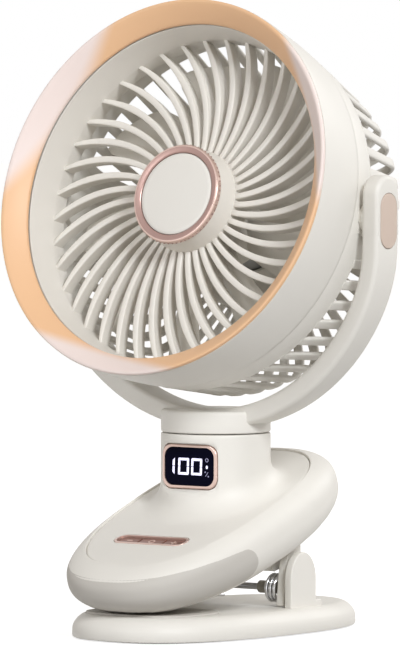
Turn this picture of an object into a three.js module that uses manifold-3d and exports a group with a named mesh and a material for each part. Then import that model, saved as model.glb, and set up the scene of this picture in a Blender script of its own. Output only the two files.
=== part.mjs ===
// Clip-on desk fan: a turbo head in a swivelling fork, on a battery body that doubles as
// the upper jaw of a sprung clamp. Millimetres, +Z up, the air blows towards -Y.
// Origin: where the swivel axis meets the underside of the foot pad.
import * as THREE from "three";
import { mergeVertices } from "three/addons/utils/BufferGeometryUtils.js";
import Module from "manifold-3d";

const wasm = await Module();
wasm.setup();

// ---------------------------------------------------------------- driving dimensions
const GAP = 0.3; // clearance between pieces that touch
const RUN = 0.6; // clearance between pieces that move past each other

// lower jaw: the flat plate that the fan stands on
const PLATE = { halfWidth: 46.5, halfLength: 85, power: 2.5, bottom: 0.7, top: 12 };
const PLATE_EDGE = 4.5; // height of the rounded upper edge
const PLATE_DRAFT = 1.2; // how far the side leans in below that edge
const FOOT_PAD = { inset: 6, thickness: 1.6 };
const JAW_PAD = { fromNose: 35, halfWidth: 30, halfLength: 24, power: 3, thickness: 1.5, proud: 0.75 };

// clamp hinge, its ears and its springs
const HINGE_Y = 16.5;
const HINGE_Z = 20.8;
const HINGE_PIN_R = 1.6;
const HINGE_PIN_BLIND = 1.5; // skin left outside the blind holes of the outer ears
const EAR_OUTER = { inside: 34, thickness: 4, halfWidth: 10.2, offset: 2.1, archZ: 25.8 };
const EAR_HEEL = { length: 4.6, height: 3.1 }; // low rib behind each outer ear
const EAR_INNER = { inside: 28, thickness: 4.4, hubR: 8.1, toe: 6.5, shin: 2, rootRear: 10.5, rootTop: 22 };
const SPRING_BUSH = { r: 3, inside: 14.2 };
const SPRING = { meanR: 6.6, wireR: 0.85, pitch: 2.2, turns: 2, outerX: 26.8, legAngle: 38 };
const SPRING_LEG_LOW = 20; // length of the leg that lies along the plate
const SPRING_LEG_HIGH = 10.5; // length of the leg that pushes the body up

// battery body: a flattened pebble that leans back on the clamp
const BODY = { y: -9.35, z: 47.7, tilt: 18.5, halfWidth: 47.6, halfLength: 82.2, power: 2.42 };
const BODY_BELOW = { depth: 22.1, round: 2.18 }; // rim to underside
const BODY_ABOVE = { height: 17.8, round: 2.95, wedge: 0.18 }; // rim to crown, thicker at the tail
const STEP_SCALE = 0.84; // outline of the top cover, as a share of the rim outline
const COVER_THICKNESS = 2.4;
const COVER_SINK = 0.5; // the cover lies this far below the shoulder
const BODY_WALL = 3;
const BUMPER = { halfHeight: 8.6, endU: -31.2, endW: -3.5, slope: 0.063, thickness: 2 };
const GRIP_PAD = { frontU: -72, rearU: -24, halfWidth: 28, corner: 10, top: -11.5, thickness: 1.6 };
const CELL = { r: 9, length: 65, spacing: 0.7, u: 9, w: -9.4, tipR: 2.8, tip: 1.2 };
const BOARD = { halfWidth: 21, front: 10, rear: 18, thickness: 1.6, below: 2 }; // under the keys
const SOCKET = { width: 9, height: 3.3, depth: 6.2, wall: 0.5, w: 2.5 };
const SOCKET_TONGUE = { halfWidth: 2.4, thickness: 0.7, from: 0.8, tip: 1 };

// neck, display and swivel
const NECK_R = 25.9;
const NECK_TOP = 94;
const NECK_FLARE = { reach: 10, height: 12 };
const NECK_BORE = { r: 20, depth: 80 };
const NECK_ROOF = 4.6;
const DISPLAY = { flatY: 20.3, z: 78.8, width: 31.6, height: 21.8, corner: 5.4, proud: 0.9 };
const BEZEL_RIM = 1.7;
const BEZEL_DEPTH = 3;
const MODULE_INSET = 3.3; // display module, inside the bezel's outline
const SPINDLE = { outerR: 11.5, innerR: 8.5, bottom: 84 };
const BUSH = { wall: 2, flange: 4, flangeThickness: 1.1, proud: 0.2 };
const RETAINER = { width: 3.5, thickness: 1.6 };

// key strip on the sloping top
const KEYS = { u: -39.8, length: 41, width: 9.8, wall: 1.1, depth: 3.4, floor: 1, proud: 0.25, middle: 14.2 };
const KEY_TRAVEL = 0.8;
const KEY_SUNK = 0.7; // key tops below the cover
const KEY_EDGE = 0.4; // step that softens the rim of a key

// fork: a half ring with straight arms, which stands on the neck and clears the drum
const FORK = { clearance: 1.9, thickness: 9.6, width: 18, above: 20, round: 1.6, straight: 14.52 };
const FORK_RISE = 0.6; // underside of the strap above the collar's underside
const COLLAR_TOP = 105;
const COLLAR_SKIN = 1.4; // left over the spindle's hole
const COLLAR_SEAM = 0.5;
const PIVOT_CAP = { width: 12.8, height: 25.6, raised: 1.8, thickness: 1.5, proud: 0.3 };
const PIVOT_PIN = { r: 4, headR: 5.6, headHeight: 1.8 };
const PIVOT_SEAT = { r: 8, proud: 0.7 };
const PIVOT_BOSS_R = 9;
const PIVOT_WASHER = { r: 7.5, thickness: 1.4 };

// fan head, measured along its own axis from the pivot, + towards the outlet
const HEAD_TILT = 17.6;
const SHROUD = { lipR: 91.4, lip: 1.1, middleH: 30, rearH: 12, wall: 2.2 };
const SHROUD_DRAFT = { middle: 1.2, rear: 3.5 }; // how far the barrel is drawn in from the lip
const RING = { width: 9, frontH: 47.5, slope: 7.8, thickness: 1.9 };
const DUCT = { step: 0.1, draft: 1.9, wall: 1.8, flange: 2 };
const VANES = { count: 40, frontH: 20.6, depth: 10.2, thickness: 2.4, sweep: 18.5, power: 1.4, sunk: 1 };
const VANE_RIM = 0.3; // the root cup and the band stand this far over the vanes
const HUB = { frontR: 23.3, rootR: 24.8, rearR: 25.6, frontH: 31, wall: 2.2 };
const HUB_RING = { outerR: 23.9, innerR: 20, height: 3.2 };
const GUARD = { step: 0.6, slotH: -2, sideH: -30, wall: 2.2 };
const GUARD_DRAFT = { slot: 1.7, side: 6.7, rim: 21.3 }; // how far its wall is drawn in from its edge
const GUARD_BACK = { h: -43, discR: 38, discThickness: 2.6, ribSunk: 1.5 };
const RIBS = { count: 48, width: 3.7, twist: 9, closedAtPivot: 2 };
const IMPELLER = { blades: 9, tipGap: 4, hubR: 23, front: 6.5, rear: -14, nose: 3, wall: 2 };
const BLADE = { pitch: 34, washout: 8, chord: 44, thickness: 1.8, camber: 2.2, sweep: 14 };
const MOTOR_CUP = 12; // height of the collar that holds the motor
const MOTOR = { r: 19, front: -16.5, rear: -39.5, shaftR: 2.5, shaftSunk: 8 };

// facet counts
const ROUND = 40; // large turned pieces
const MIDDLE = 26; // neck, swivel and hub
const SMALL = 12; // pins, bores and bosses
const OUTLINE = 32; // jaw plate and body outlines
const HIDDEN = 20; // faces that another piece covers
const CORNER = 2; // half the number of steps in a rounded corner

// ---------------------------------------------------------------- colours and finishes
const FINISH = {
  shell: { color: 0xe9e6df, roughness: 0.45, metalness: 0 },
  warmTrim: { color: 0xe8bc93, roughness: 0.4, metalness: 0.1 },
  roseGold: { color: 0xc9a196, roughness: 0.3, metalness: 0.7 },
  softGrey: { color: 0xdcdad5, roughness: 0.8, metalness: 0 },
  rubber: { color: 0xcfccc6, roughness: 0.9, metalness: 0 },
  steel: { color: 0xb9b9bb, roughness: 0.25, metalness: 1 },
  darkLens: { color: 0x0a0a1c, roughness: 0.08, metalness: 0 },
  board: { color: 0x2f5b45, roughness: 0.6, metalness: 0 },
  cell: { color: 0x5a7f9c, roughness: 0.4, metalness: 0 },
  nylon: { color: 0xf1efe8, roughness: 0.55, metalness: 0 },
};

// ---------------------------------------------------------------- solid helpers
const radians = THREE.MathUtils.degToRad;
const lerp = THREE.MathUtils.lerp;
const FULL_TURN = 360;
const QUARTER_TURN = 90;

// ---------------------------------------------------------------- sizes that follow from others
const RING_R = SHROUD.lipR - SHROUD.lip - GAP;
const RING_BORE_R = RING_R - RING.width;
const RING_BORE_H = RING.frontH - RING.slope;
const DUCT_R = RING_BORE_R - DUCT.step;
const VANE_TIP_R = DUCT_R - DUCT.draft;
const SHROUD_REAR_R = SHROUD.lipR - SHROUD_DRAFT.rear;
const GUARD_R = SHROUD_REAR_R - GUARD.step;
const SLOT_R = GUARD_R - GUARD_DRAFT.slot;
const GUARD_SIDE_R = GUARD_R - GUARD_DRAFT.side;
const GUARD_RIM_R = GUARD_R - GUARD_DRAFT.rim;
const BLADE_TIP_R = VANE_TIP_R - IMPELLER.tipGap;
const RIM_H = VANES.frontH + VANE_RIM;

/** Faces and middle of the arms' straight upper stretch, and the strap's radius below it. */
const ARM_INSIDE = GUARD_R + FORK.clearance;
const ARM_MIDDLE = ARM_INSIDE + FORK.thickness / 2;
const ARM_OUTSIDE = ARM_INSIDE + FORK.thickness;
const ARM_SEAT = ARM_INSIDE - PIVOT_SEAT.proud;
const STRAP_R = ARM_MIDDLE / Math.cos(radians(FORK.straight));
const PIVOT_Z = NECK_TOP + COLLAR_SEAM + FORK_RISE + FORK.thickness / 2 + STRAP_R;

/** A closed geometry as a solid, with its faces turned outwards. */
function solidOf(geometry) {
  const bare = new THREE.BufferGeometry();
  bare.setAttribute("position", geometry.getAttribute("position").clone());
  if (geometry.index) bare.setIndex(geometry.index.clone());
  const merged = mergeVertices(bare, 1e-4);
  const corners = merged.index.array;
  const kept = [];
  for (let i = 0; i < corners.length; i += 3) {
    const [a, b, c] = [corners[i], corners[i + 1], corners[i + 2]];
    if (a !== b && b !== c && c !== a) kept.push(a, b, c);
  }
  const build = (triangles) =>
    new wasm.Manifold(
      new wasm.Mesh({
        numProp: 3,
        vertProperties: new Float32Array(merged.attributes.position.array),
        triVerts: new Uint32Array(triangles),
      }),
    );
  const made = build(kept);
  if (made.volume() > 0) return made;
  for (let i = 0; i < kept.length; i += 3) [kept[i + 1], kept[i + 2]] = [kept[i + 2], kept[i + 1]];
  return build(kept);
}

/** The triangles of a solid as a geometry with flat normals. */
function geometryOf(solid) {
  const mesh = solid.getMesh();
  const positions = new Float32Array(mesh.numVert * 3);
  for (let i = 0; i < mesh.numVert; i++) {
    const start = i * mesh.numProp;
    positions.set(mesh.vertProperties.subarray(start, start + 3), i * 3);
  }
  const indexed = new THREE.BufferGeometry();
  indexed.setAttribute("position", new THREE.BufferAttribute(positions, 3));
  indexed.setIndex(new THREE.BufferAttribute(new Uint32Array(mesh.triVerts), 1));
  const flat = indexed.toNonIndexed();
  flat.computeVertexNormals();
  return flat;
}

const joined = (solids) => solids.reduce((whole, next) => whole.add(next));

/** A solid moved by a matrix. */
function moved(solid, matrix) {
  return solidOf(geometryOf(solid).applyMatrix4(matrix));
}

const shift = (x, y, z) => new THREE.Matrix4().makeTranslation(x, y, z);
const turnX = (degrees) => new THREE.Matrix4().makeRotationX(radians(degrees));
const turnZ = (degrees) => new THREE.Matrix4().makeRotationZ(radians(degrees));

/** A body of revolution about +Z from [radius, height] points; the outline closes on itself. */
function turned(profile, segments = ROUND) {
  const points = [...profile, profile[0]].map(([r, h]) => new THREE.Vector2(r, h));
  return solidOf(new THREE.LatheGeometry(points, segments).rotateX(Math.PI / 2));
}

/** A rod or a tube along X from one x to the other, about (y, z). */
function rodX(fromX, toX, radius, y = 0, z = 0, segments = SMALL) {
  const rod = new THREE.CylinderGeometry(radius, radius, Math.abs(toX - fromX), segments);
  rod.rotateZ(Math.PI / 2);
  rod.translate((fromX + toX) / 2, y, z);
  return solidOf(rod);
}

function tubeX(fromX, toX, outerR, innerR, y = 0, z = 0, segments = SMALL) {
  const bore = rodX(fromX - 1, toX + 1, innerR, y, z, segments);
  return rodX(fromX, toX, outerR, y, z, segments).subtract(bore);
}

function box(minX, maxX, minY, maxY, minZ, maxZ) {
  const made = new THREE.BoxGeometry(maxX - minX, maxY - minY, maxZ - minZ);
  made.translate((minX + maxX) / 2, (minY + maxY) / 2, (minZ + maxZ) / 2);
  return solidOf(made);
}

/** A rod along Z on the swivel axis. */
function rodZ(fromZ, toZ, radius, segments = MIDDLE) {
  const rod = new THREE.CylinderGeometry(radius, radius, toZ - fromZ, segments);
  return solidOf(rod.rotateX(Math.PI / 2).translate(0, 0, (fromZ + toZ) / 2));
}

/** A tube along Z on the swivel axis. */
function ringZ(fromZ, toZ, outerR, innerR, segments = HIDDEN) {
  return rodZ(fromZ, toZ, outerR, segments).subtract(rodZ(fromZ - 1, toZ + 1, innerR, segments));
}

/** A flat outline in XY given thickness along +Z. */
function slab(shape, thickness, curveSegments = CORNER) {
  const options = { depth: thickness, bevelEnabled: false, curveSegments };
  return new THREE.ExtrudeGeometry(shape, options);
}

/** Turns a slab so that its outline lies in YZ, from |x| = inside outwards on the side of sign. */
function acrossX(blank, sign, inside) {
  blank.rotateX(Math.PI / 2).rotateZ(Math.PI / 2); // outline x -> +Y, y -> +Z, depth -> +X
  blank.computeBoundingBox();
  const thickness = blank.boundingBox.max.x - blank.boundingBox.min.x;
  return blank.translate(sign > 0 ? inside : -inside - thickness, 0, 0);
}

/** A rectangle with rounded corners, centred on the origin. */
function roundedRectangle(width, height, corner) {
  const [x, y, r] = [width / 2, height / 2, corner];
  const shape = new THREE.Shape();
  shape.moveTo(x - r, -y);
  shape.absarc(x - r, -y + r, r, -Math.PI / 2, 0);
  shape.absarc(x - r, y - r, r, 0, Math.PI / 2);
  shape.absarc(-x + r, y - r, r, Math.PI / 2, Math.PI);
  shape.absarc(-x + r, -y + r, r, Math.PI, Math.PI * 1.5);
  shape.closePath();
  return shape;
}

/** Rings of equally many points skinned into one closed body, with a fan over each end. */
function lofted(rings) {
  const count = rings[0].length;
  const positions = rings.flat().flatMap((p) => [p.x, p.y, p.z]);
  const index = [];
  for (let ring = 0; ring < rings.length - 1; ring++) {
    for (let i = 0; i < count; i++) {
      const [a, b] = [ring * count + i, ring * count + ((i + 1) % count)];
      index.push(a, b, b + count, a, b + count, a + count);
    }
  }
  const last = (rings.length - 1) * count;
  for (let i = 1; i < count - 1; i++) {
    index.push(0, i + 1, i);
    index.push(last, last + i, last + i + 1);
  }
  const geometry = new THREE.BufferGeometry();
  geometry.setAttribute("position", new THREE.Float32BufferAttribute(positions, 3));
  geometry.setIndex(index);
  return solidOf(geometry);
}

/** Points of a superellipse with the given half axes, in the plane z = height. */
function superellipse(halfX, halfY, power, height, count = OUTLINE) {
  return Array.from({ length: count }, (_, i) => {
    const angle = (i / count) * Math.PI * 2;
    const stretch = (v) => Math.sign(v) * Math.abs(v) ** (2 / power);
    const x = halfX * stretch(Math.cos(angle));
    return new THREE.Vector3(x, halfY * stretch(Math.sin(angle)), height);
  });
}

/** A round tube swept along points, one section at each, with flat ends. */
function tubeAlong(points, radius, sides) {
  const curve = new THREE.CatmullRomCurve3(points);
  const frames = curve.computeFrenetFrames(points.length - 1, false);
  const rings = points.map((point, i) =>
    Array.from({ length: sides }, (_, k) => {
      const angle = (k / sides) * Math.PI * 2;
      return point
        .clone()
        .addScaledVector(frames.normals[i], radius * Math.cos(angle))
        .addScaledVector(frames.binormals[i], radius * Math.sin(angle));
    }),
  );
  return lofted(rings);
}

// ---------------------------------------------------------------- scene graph
const fan = new THREE.Group();
const base = new THREE.Group();
const head = new THREE.Group();
head.position.z = PIVOT_Z;
head.rotation.x = Math.PI / 2 - radians(HEAD_TILT); // local +Z is the outlet axis
fan.add(base, head);

function place(parent, name, solid, finish) {
  const material = new THREE.MeshStandardMaterial(FINISH[finish]);
  const mesh = new THREE.Mesh(geometryOf(solid), material);
  mesh.name = name;
  parent.add(mesh);
}

/** Names for a left and a right copy, with the sign of X of each. */
const SIDES = [
  ["left", -1],
  ["right", 1],
];

// ---------------------------------------------------------------- lower jaw
function plateOutline(inset, height) {
  const { halfWidth, halfLength, power } = PLATE;
  return superellipse(halfWidth - inset, halfLength - inset, power, height);
}

/** The outer ear in the (y, z) plane: straight sides under a round arch, and a heel behind. */
function outerEar(sign) {
  const { inside, thickness, halfWidth, offset, archZ } = EAR_OUTER;
  const [front, rear] = [offset - halfWidth, offset + halfWidth];
  const heelTop = PLATE.top + EAR_HEEL.height;
  const shape = new THREE.Shape();
  shape.moveTo(front, PLATE.top - 1);
  shape.lineTo(rear + EAR_HEEL.length, PLATE.top - 1);
  shape.lineTo(rear + EAR_HEEL.length, heelTop);
  shape.lineTo(rear, heelTop);
  shape.absarc(offset, archZ, halfWidth, 0, Math.PI);
  shape.closePath();
  const ear = acrossX(slab(shape, thickness, 5), sign, inside).translate(0, HINGE_Y, 0);
  const boreEnd = inside + thickness - HINGE_PIN_BLIND;
  const bore = rodX(-boreEnd, boreEnd, HINGE_PIN_R + GAP, HINGE_Y, HINGE_Z);
  return solidOf(ear).subtract(bore);
}

function makeLowerJaw() {
  const edge = [0, 0.35, 0.7, 1].map((t) => {
    const angle = (t * Math.PI) / 2;
    const inset = PLATE_DRAFT + PLATE_EDGE * (1 - Math.cos(angle));
    return plateOutline(inset, PLATE.top - PLATE_EDGE * (1 - Math.sin(angle)));
  });
  const blank = lofted([plateOutline(0.5, PLATE.bottom), plateOutline(0, PLATE.bottom + 1), ...edge]);

  const footTop = FOOT_PAD.thickness;
  const footRecess = lofted([
    plateOutline(FOOT_PAD.inset - GAP, PLATE.bottom - 1),
    plateOutline(FOOT_PAD.inset - GAP, footTop + GAP),
  ]);
  const padTop = PLATE.top + JAW_PAD.proud;
  const padBottom = padTop - JAW_PAD.thickness;
  const padY = JAW_PAD.fromNose - PLATE.halfLength;
  const padOutline = (grow, height) =>
    superellipse(JAW_PAD.halfWidth + grow, JAW_PAD.halfLength + grow, JAW_PAD.power, height).map((p) =>
      p.add(new THREE.Vector3(0, padY, 0)),
    );
  const padRecess = lofted([padOutline(GAP, padBottom - GAP), padOutline(GAP, PLATE.top + 1)]);
  const plate = blank.subtract(footRecess).subtract(padRecess);
  place(base, "lower_jaw_plate", joined([plate, outerEar(1), outerEar(-1)]), "shell");

  const foot = lofted([
    plateOutline(FOOT_PAD.inset + 0.6, 0),
    plateOutline(FOOT_PAD.inset, 0.6),
    plateOutline(FOOT_PAD.inset, footTop),
  ]);
  place(base, "foot_pad", foot, "rubber");
  const pad = lofted([padOutline(0, padBottom), padOutline(0, padTop - 0.4), padOutline(-1, padTop)]);
  place(base, "lower_jaw_pad", pad, "rubber");
}

// ---------------------------------------------------------------- clamp hinge
function makeHinge() {
  const pinEnd = EAR_OUTER.inside + EAR_OUTER.thickness - HINGE_PIN_BLIND - GAP;
  place(base, "hinge_pin", rodX(-pinEnd, pinEnd, HINGE_PIN_R, HINGE_Y, HINGE_Z), "steel");

  const bushEnd = EAR_INNER.inside - GAP;
  for (const [side, sign] of SIDES) {
    const [low, high] = [sign * SPRING_BUSH.inside, sign * bushEnd].sort((m, n) => m - n);
    const bush = tubeX(low, high, SPRING_BUSH.r, HINGE_PIN_R + GAP, HINGE_Y, HINGE_Z);
    place(base, `spring_bush_${side}`, bush, "nylon");
  }

  const least = [];
  for (const [side, sign] of SIDES) {
    const points = springRoute(sign);
    least.push(leastSelfGap(points, SPRING.wireR));
    place(base, `torsion_spring_${side}`, tubeAlong(points, SPRING.wireR, 5), "steel");
  }
  console.log(`springs: least gap between turns ${Math.min(...least).toFixed(2)} mm`);
}

/** The wire's centre line: a leg along the plate, the turns, and a leg that bears on the body. */
function springRoute(sign) {
  const { meanR, pitch, turns, outerX, legAngle } = SPRING;
  const from = 3 * QUARTER_TURN;
  const to = QUARTER_TURN + legAngle;
  const sweep = from - to + FULL_TURN * turns;
  const stepsPerTurn = 8;
  const steps = Math.round((sweep / FULL_TURN) * stepsPerTurn);
  const at = (degrees, x) =>
    new THREE.Vector3(
      sign * x,
      HINGE_Y + meanR * Math.cos(radians(degrees)),
      HINGE_Z + meanR * Math.sin(radians(degrees)),
    );
  const startX = outerX - (sweep / FULL_TURN) * pitch;
  const points = [];
  for (let i = 0; i <= steps; i++) {
    const turn = (i / steps) * sweep;
    points.push(at(from - turn, startX + (turn / FULL_TURN) * pitch));
  }
  const [first, last] = [points[0], points[points.length - 1]];
  const low = new THREE.Vector3(0, 1, -0.04).multiplyScalar(SPRING_LEG_LOW);
  const high = new THREE.Vector3(0, Math.cos(radians(legAngle)), Math.sin(radians(legAngle)));
  high.multiplyScalar(SPRING_LEG_HIGH);
  return [first.clone().add(low), ...points, last.clone().add(high)];
}

/** Smallest free distance between parts of a wire that are more than half a turn apart. */
function leastSelfGap(points, wireR) {
  const fine = new THREE.CatmullRomCurve3(points).getPoints(points.length * 4);
  let least = Infinity;
  for (let i = 0; i < fine.length; i++) {
    for (let j = i + 16; j < fine.length; j++) least = Math.min(least, fine[i].distanceTo(fine[j]));
  }
  return least - 2 * wireR;
}

// ---------------------------------------------------------------- battery body
const bodyFrame = shift(0, BODY.y, BODY.z).multiply(turnX(BODY.tilt));

/** Height of the shoulder curve above the rim plane, at a share of the rim outline. */
const shoulder = (scale) =>
  BODY_ABOVE.height * (1 - scale ** BODY_ABOVE.round) ** (1 / BODY_ABOVE.round);
const COVER_LEVEL = shoulder(STEP_SCALE);

/** One outline of the pebble in its own frame: w is its level, raised towards the tail. */
function bodyRing(scale, level, inset = 0, count = OUTLINE) {
  const { halfWidth, halfLength, power } = BODY;
  const ring = superellipse(halfWidth * scale - inset, halfLength * scale - inset, power, level, count);
  if (level > 0) for (const p of ring) p.z *= 1 + (BODY_ABOVE.wedge * p.y) / halfLength;
  return ring;
}

/** The pebble, drawn in by an inset, cut flat at the cover's level. */
function pebble(inset, count = OUTLINE) {
  const { depth, round } = BODY_BELOW;
  const below = [78, 60, 43, 27, 11].map((degrees) => {
    const scale = Math.cos(radians(degrees)) ** (2 / round);
    const level = -(depth - inset) * Math.sin(radians(degrees)) ** (2 / round);
    return bodyRing(scale, level, inset * Math.min(1, scale * 1.2), count);
  });
  const above = [1, 0.991, 0.963, 0.913, STEP_SCALE].map((scale) =>
    bodyRing(scale, Math.max(0, shoulder(scale) - inset), inset, count),
  );
  return lofted([...below, ...above]);
}

/** A bar with one round end, in the body's side view, that runs through it from side to side. */
function bumperBand(grow) {
  const r = BUMPER.halfHeight + grow;
  const length = BODY.halfLength * 1.4;
  const shape = new THREE.Shape();
  shape.moveTo(-length, -r);
  shape.lineTo(0, -r);
  shape.absarc(0, 0, r, -Math.PI / 2, Math.PI / 2);
  shape.lineTo(-length, r);
  shape.closePath();
  const halfSpan = BODY.halfWidth + 10;
  const blank = slab(shape, 2 * halfSpan, 4);
  blank.rotateX(Math.PI / 2).rotateZ(Math.PI / 2); // outline x -> u, y -> w, depth -> x
  blank.translate(-halfSpan, 0, 0);
  blank.rotateX(-Math.atan(BUMPER.slope));
  blank.translate(0, BUMPER.endU, BUMPER.endW);
  return solidOf(blank);
}

/** The block of space that the grip pad takes under the nose. */
function gripBlock(grow) {
  const { frontU, rearU, halfWidth, corner } = GRIP_PAD;
  const shape = roundedRectangle(2 * (halfWidth + grow), rearU - frontU + 2 * grow, corner + grow);
  const blank = slab(shape, BODY_BELOW.depth);
  blank.translate(0, (frontU + rearU) / 2, GRIP_PAD.top + grow - BODY_BELOW.depth);
  return solidOf(blank);
}

/** The inner ear in the (y, z) plane: an eye round the pin and a web up into the body. */
function innerEar(sign) {
  const { inside, thickness, hubR, toe, shin, rootRear, rootTop } = EAR_INNER;
  const soleZ = PLATE.top + RUN - HINGE_Z;
  const shape = new THREE.Shape();
  shape.moveTo(hubR, 0);
  shape.lineTo(rootRear, rootTop);
  shape.lineTo(2 * shin - toe, rootTop);
  shape.lineTo(shin - toe, hubR + 1);
  shape.lineTo(-toe, soleZ);
  shape.lineTo(0, soleZ);
  shape.absarc(0, 0, hubR, -Math.PI / 2, 0);
  shape.closePath();
  const blank = acrossX(slab(shape, thickness, 3), sign, inside);
  return solidOf(blank.translate(0, HINGE_Y, HINGE_Z));
}

/** Where the charging socket's floor lies in the body, from its middle. */
const SOCKET_U = BODY.halfLength - SOCKET.depth - GAP;

function makeBodyShell() {
  const inner = STEP_SCALE - 0.075;
  const cavity = lofted([
    bodyRing(inner - 0.2, -BODY_BELOW.depth + BODY_WALL + 0.4, 0, HIDDEN),
    bodyRing(inner - 0.06, -BODY_BELOW.depth / 2, 0, HIDDEN),
    bodyRing(inner, 0, 0, HIDDEN),
    bodyRing(inner, COVER_LEVEL + 4, 0, HIDDEN),
  ]);
  const seatLevel = COVER_LEVEL - COVER_SINK - COVER_THICKNESS - GAP;
  const seat = lofted([bodyRing(STEP_SCALE, seatLevel, 0.6), bodyRing(STEP_SCALE, seatLevel + 12, 0.6)]);
  const bumperCut = bumperBand(GAP).subtract(pebble(BUMPER.thickness + GAP, HIDDEN));
  const gripCut = gripBlock(GAP).subtract(pebble(GRIP_PAD.thickness + GAP, HIDDEN));
  const portCut = moved(socketBlank(GAP, 2 * SOCKET.depth), shift(0, SOCKET_U, SOCKET.w));
  const shell = pebble(0)
    .subtract(cavity)
    .subtract(seat)
    .subtract(bumperCut)
    .subtract(gripCut)
    .subtract(portCut);

  const ears = joined([innerEar(1), innerEar(-1)]).subtract(
    moved(pebble(BODY_WALL), bodyFrame).add(rodX(-60, 60, HINGE_PIN_R + GAP, HINGE_Y, HINGE_Z)),
  );
  place(base, "body_lower_shell", moved(shell, bodyFrame).add(ears), "shell");

  const proud = -0.1;
  const bumper = pebble(proud).intersect(bumperBand(0)).subtract(pebble(BUMPER.thickness, HIDDEN));
  place(base, "nose_bumper", moved(bumper, bodyFrame), "softGrey");
  const grip = pebble(0)
    .intersect(gripBlock(0))
    .subtract(pebble(GRIP_PAD.thickness, HIDDEN));
  place(base, "upper_jaw_pad", moved(grip, bodyFrame), "rubber");
}

// ---------------------------------------------------------------- charging socket
/** A stadium prism along +u, from 0 to a depth. */
function socketBlank(grow, depth) {
  const height = SOCKET.height + 2 * grow;
  const shape = roundedRectangle(SOCKET.width + 2 * grow, height, height / 2 - 0.01);
  const blank = slab(shape, depth);
  blank.rotateX(Math.PI / 2); // outline y -> +w, depth -> -u
  blank.translate(0, depth, 0);
  return solidOf(blank);
}

function makeSocket() {
  const hollow = moved(socketBlank(-SOCKET.wall, SOCKET.depth), shift(0, 2 * SOCKET.wall, 0));
  const body = socketBlank(0, SOCKET.depth).subtract(hollow);
  const { halfWidth, thickness, from, tip } = SOCKET_TONGUE;
  const tongue = box(-halfWidth, halfWidth, from, SOCKET.depth - tip, -thickness / 2, thickness / 2);
  const seated = shift(0, SOCKET_U + GAP, SOCKET.w);
  place(base, "charging_socket", moved(body.add(tongue), bodyFrame.clone().multiply(seated)), "steel");
}

// ---------------------------------------------------------------- top cover and neck
/** Height of the cover's upper face above the floor, at a distance y from the axis. */
function coverHeight(y) {
  const level = COVER_LEVEL - COVER_SINK;
  const rise = new THREE.Vector3(0, BODY.halfLength, level * (1 + BODY_ABOVE.wedge));
  const fall = new THREE.Vector3(0, -BODY.halfLength, level * (1 - BODY_ABOVE.wedge));
  const [high, low] = [rise.applyMatrix4(bodyFrame), fall.applyMatrix4(bodyFrame)];
  return lerp(low.z, high.z, (y - low.y) / (high.y - low.y));
}

/** The neck with its soft flare: each ring follows the slope of the cover. */
function neckBlank() {
  const count = OUTLINE;
  const { reach, height } = NECK_FLARE;
  const ring = (radius, lift) =>
    Array.from({ length: count }, (_, i) => {
      const angle = (i / count) * Math.PI * 2;
      const y = radius * Math.sin(angle);
      return new THREE.Vector3(radius * Math.cos(angle), y, lift(y));
    });
  const flare = [90, 66, 44, 22, 0].map((degrees) => {
    const radius = NECK_R + reach * (1 - Math.cos(radians(degrees)));
    const above = height * (1 - Math.sin(radians(degrees)));
    return ring(radius, (y) => coverHeight(y) + above);
  });
  const sunk = ring(NECK_R + reach, (y) => coverHeight(y) - COVER_THICKNESS / 2);
  return lofted([sunk, ...flare, ring(NECK_R, () => NECK_TOP)]);
}

/** A prism with the display's outline that looks towards -Y, from one y to another. */
function displayPrism(inset, fromY, toY) {
  const { width, height, corner, z } = DISPLAY;
  const shape = roundedRectangle(width - 2 * inset, height - 2 * inset, corner - inset);
  const blank = slab(shape, toY - fromY);
  blank.rotateX(Math.PI / 2); // outline y -> +Z, depth -> -Y
  blank.translate(0, toY, z);
  return solidOf(blank);
}

/** The stadium outline of the key strip, extruded along w from one level to another. */
function keyStrip(inset, fromW, toW) {
  const width = KEYS.width - 2 * inset;
  const shape = roundedRectangle(KEYS.length - 2 * inset, width, width / 2 - 0.01);
  const blank = slab(shape, toW - fromW, 2);
  blank.translate(0, KEYS.u, fromW);
  return solidOf(blank);
}

/** Level of the cover's upper face at the key strip, in the body's frame. */
const KEY_LEVEL =
  (COVER_LEVEL - COVER_SINK) * (1 + (BODY_ABOVE.wedge * (KEYS.u - KEYS.width / 2)) / BODY.halfLength);

function makeTopCover() {
  const top = COVER_LEVEL - COVER_SINK;
  const plate = lofted([
    bodyRing(STEP_SCALE, top - COVER_THICKNESS, 0.6 + GAP),
    bodyRing(STEP_SCALE, top - 0.5, 0.6 + GAP),
    bodyRing(STEP_SCALE, top, 1.1 + GAP),
  ]);
  const flat = box(-30, 30, -50, -DISPLAY.flatY, DISPLAY.z - DISPLAY.height / 2 - 1.2, NECK_TOP + 5);
  const front = -DISPLAY.flatY;
  const pocket = displayPrism(-GAP, front - 5, front + BEZEL_DEPTH + GAP);
  const window = displayPrism(MODULE_INSET - GAP, front, -SPINDLE.outerR);
  const keyHole = keyStrip(-GAP, KEY_LEVEL - KEYS.depth - 4, KEY_LEVEL + 6);
  const { wall, flange, flangeThickness, proud } = BUSH;
  const bushR = SPINDLE.outerR + GAP + wall;
  const flangeSeat = NECK_TOP + proud - flangeThickness - GAP;
  const roof = NECK_TOP - NECK_ROOF;
  const cover = moved(plate, bodyFrame)
    .add(neckBlank())
    .subtract(rodZ(roof - NECK_BORE.depth, roof, NECK_BORE.r))
    .subtract(rodZ(roof - 5, NECK_TOP + 5, bushR + GAP))
    .subtract(rodZ(flangeSeat, NECK_TOP + 5, bushR + flange + GAP))
    .subtract(flat)
    .subtract(pocket)
    .subtract(window)
    .subtract(moved(keyHole, bodyFrame));
  place(base, "body_top_cover", cover, "shell");
}

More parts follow.
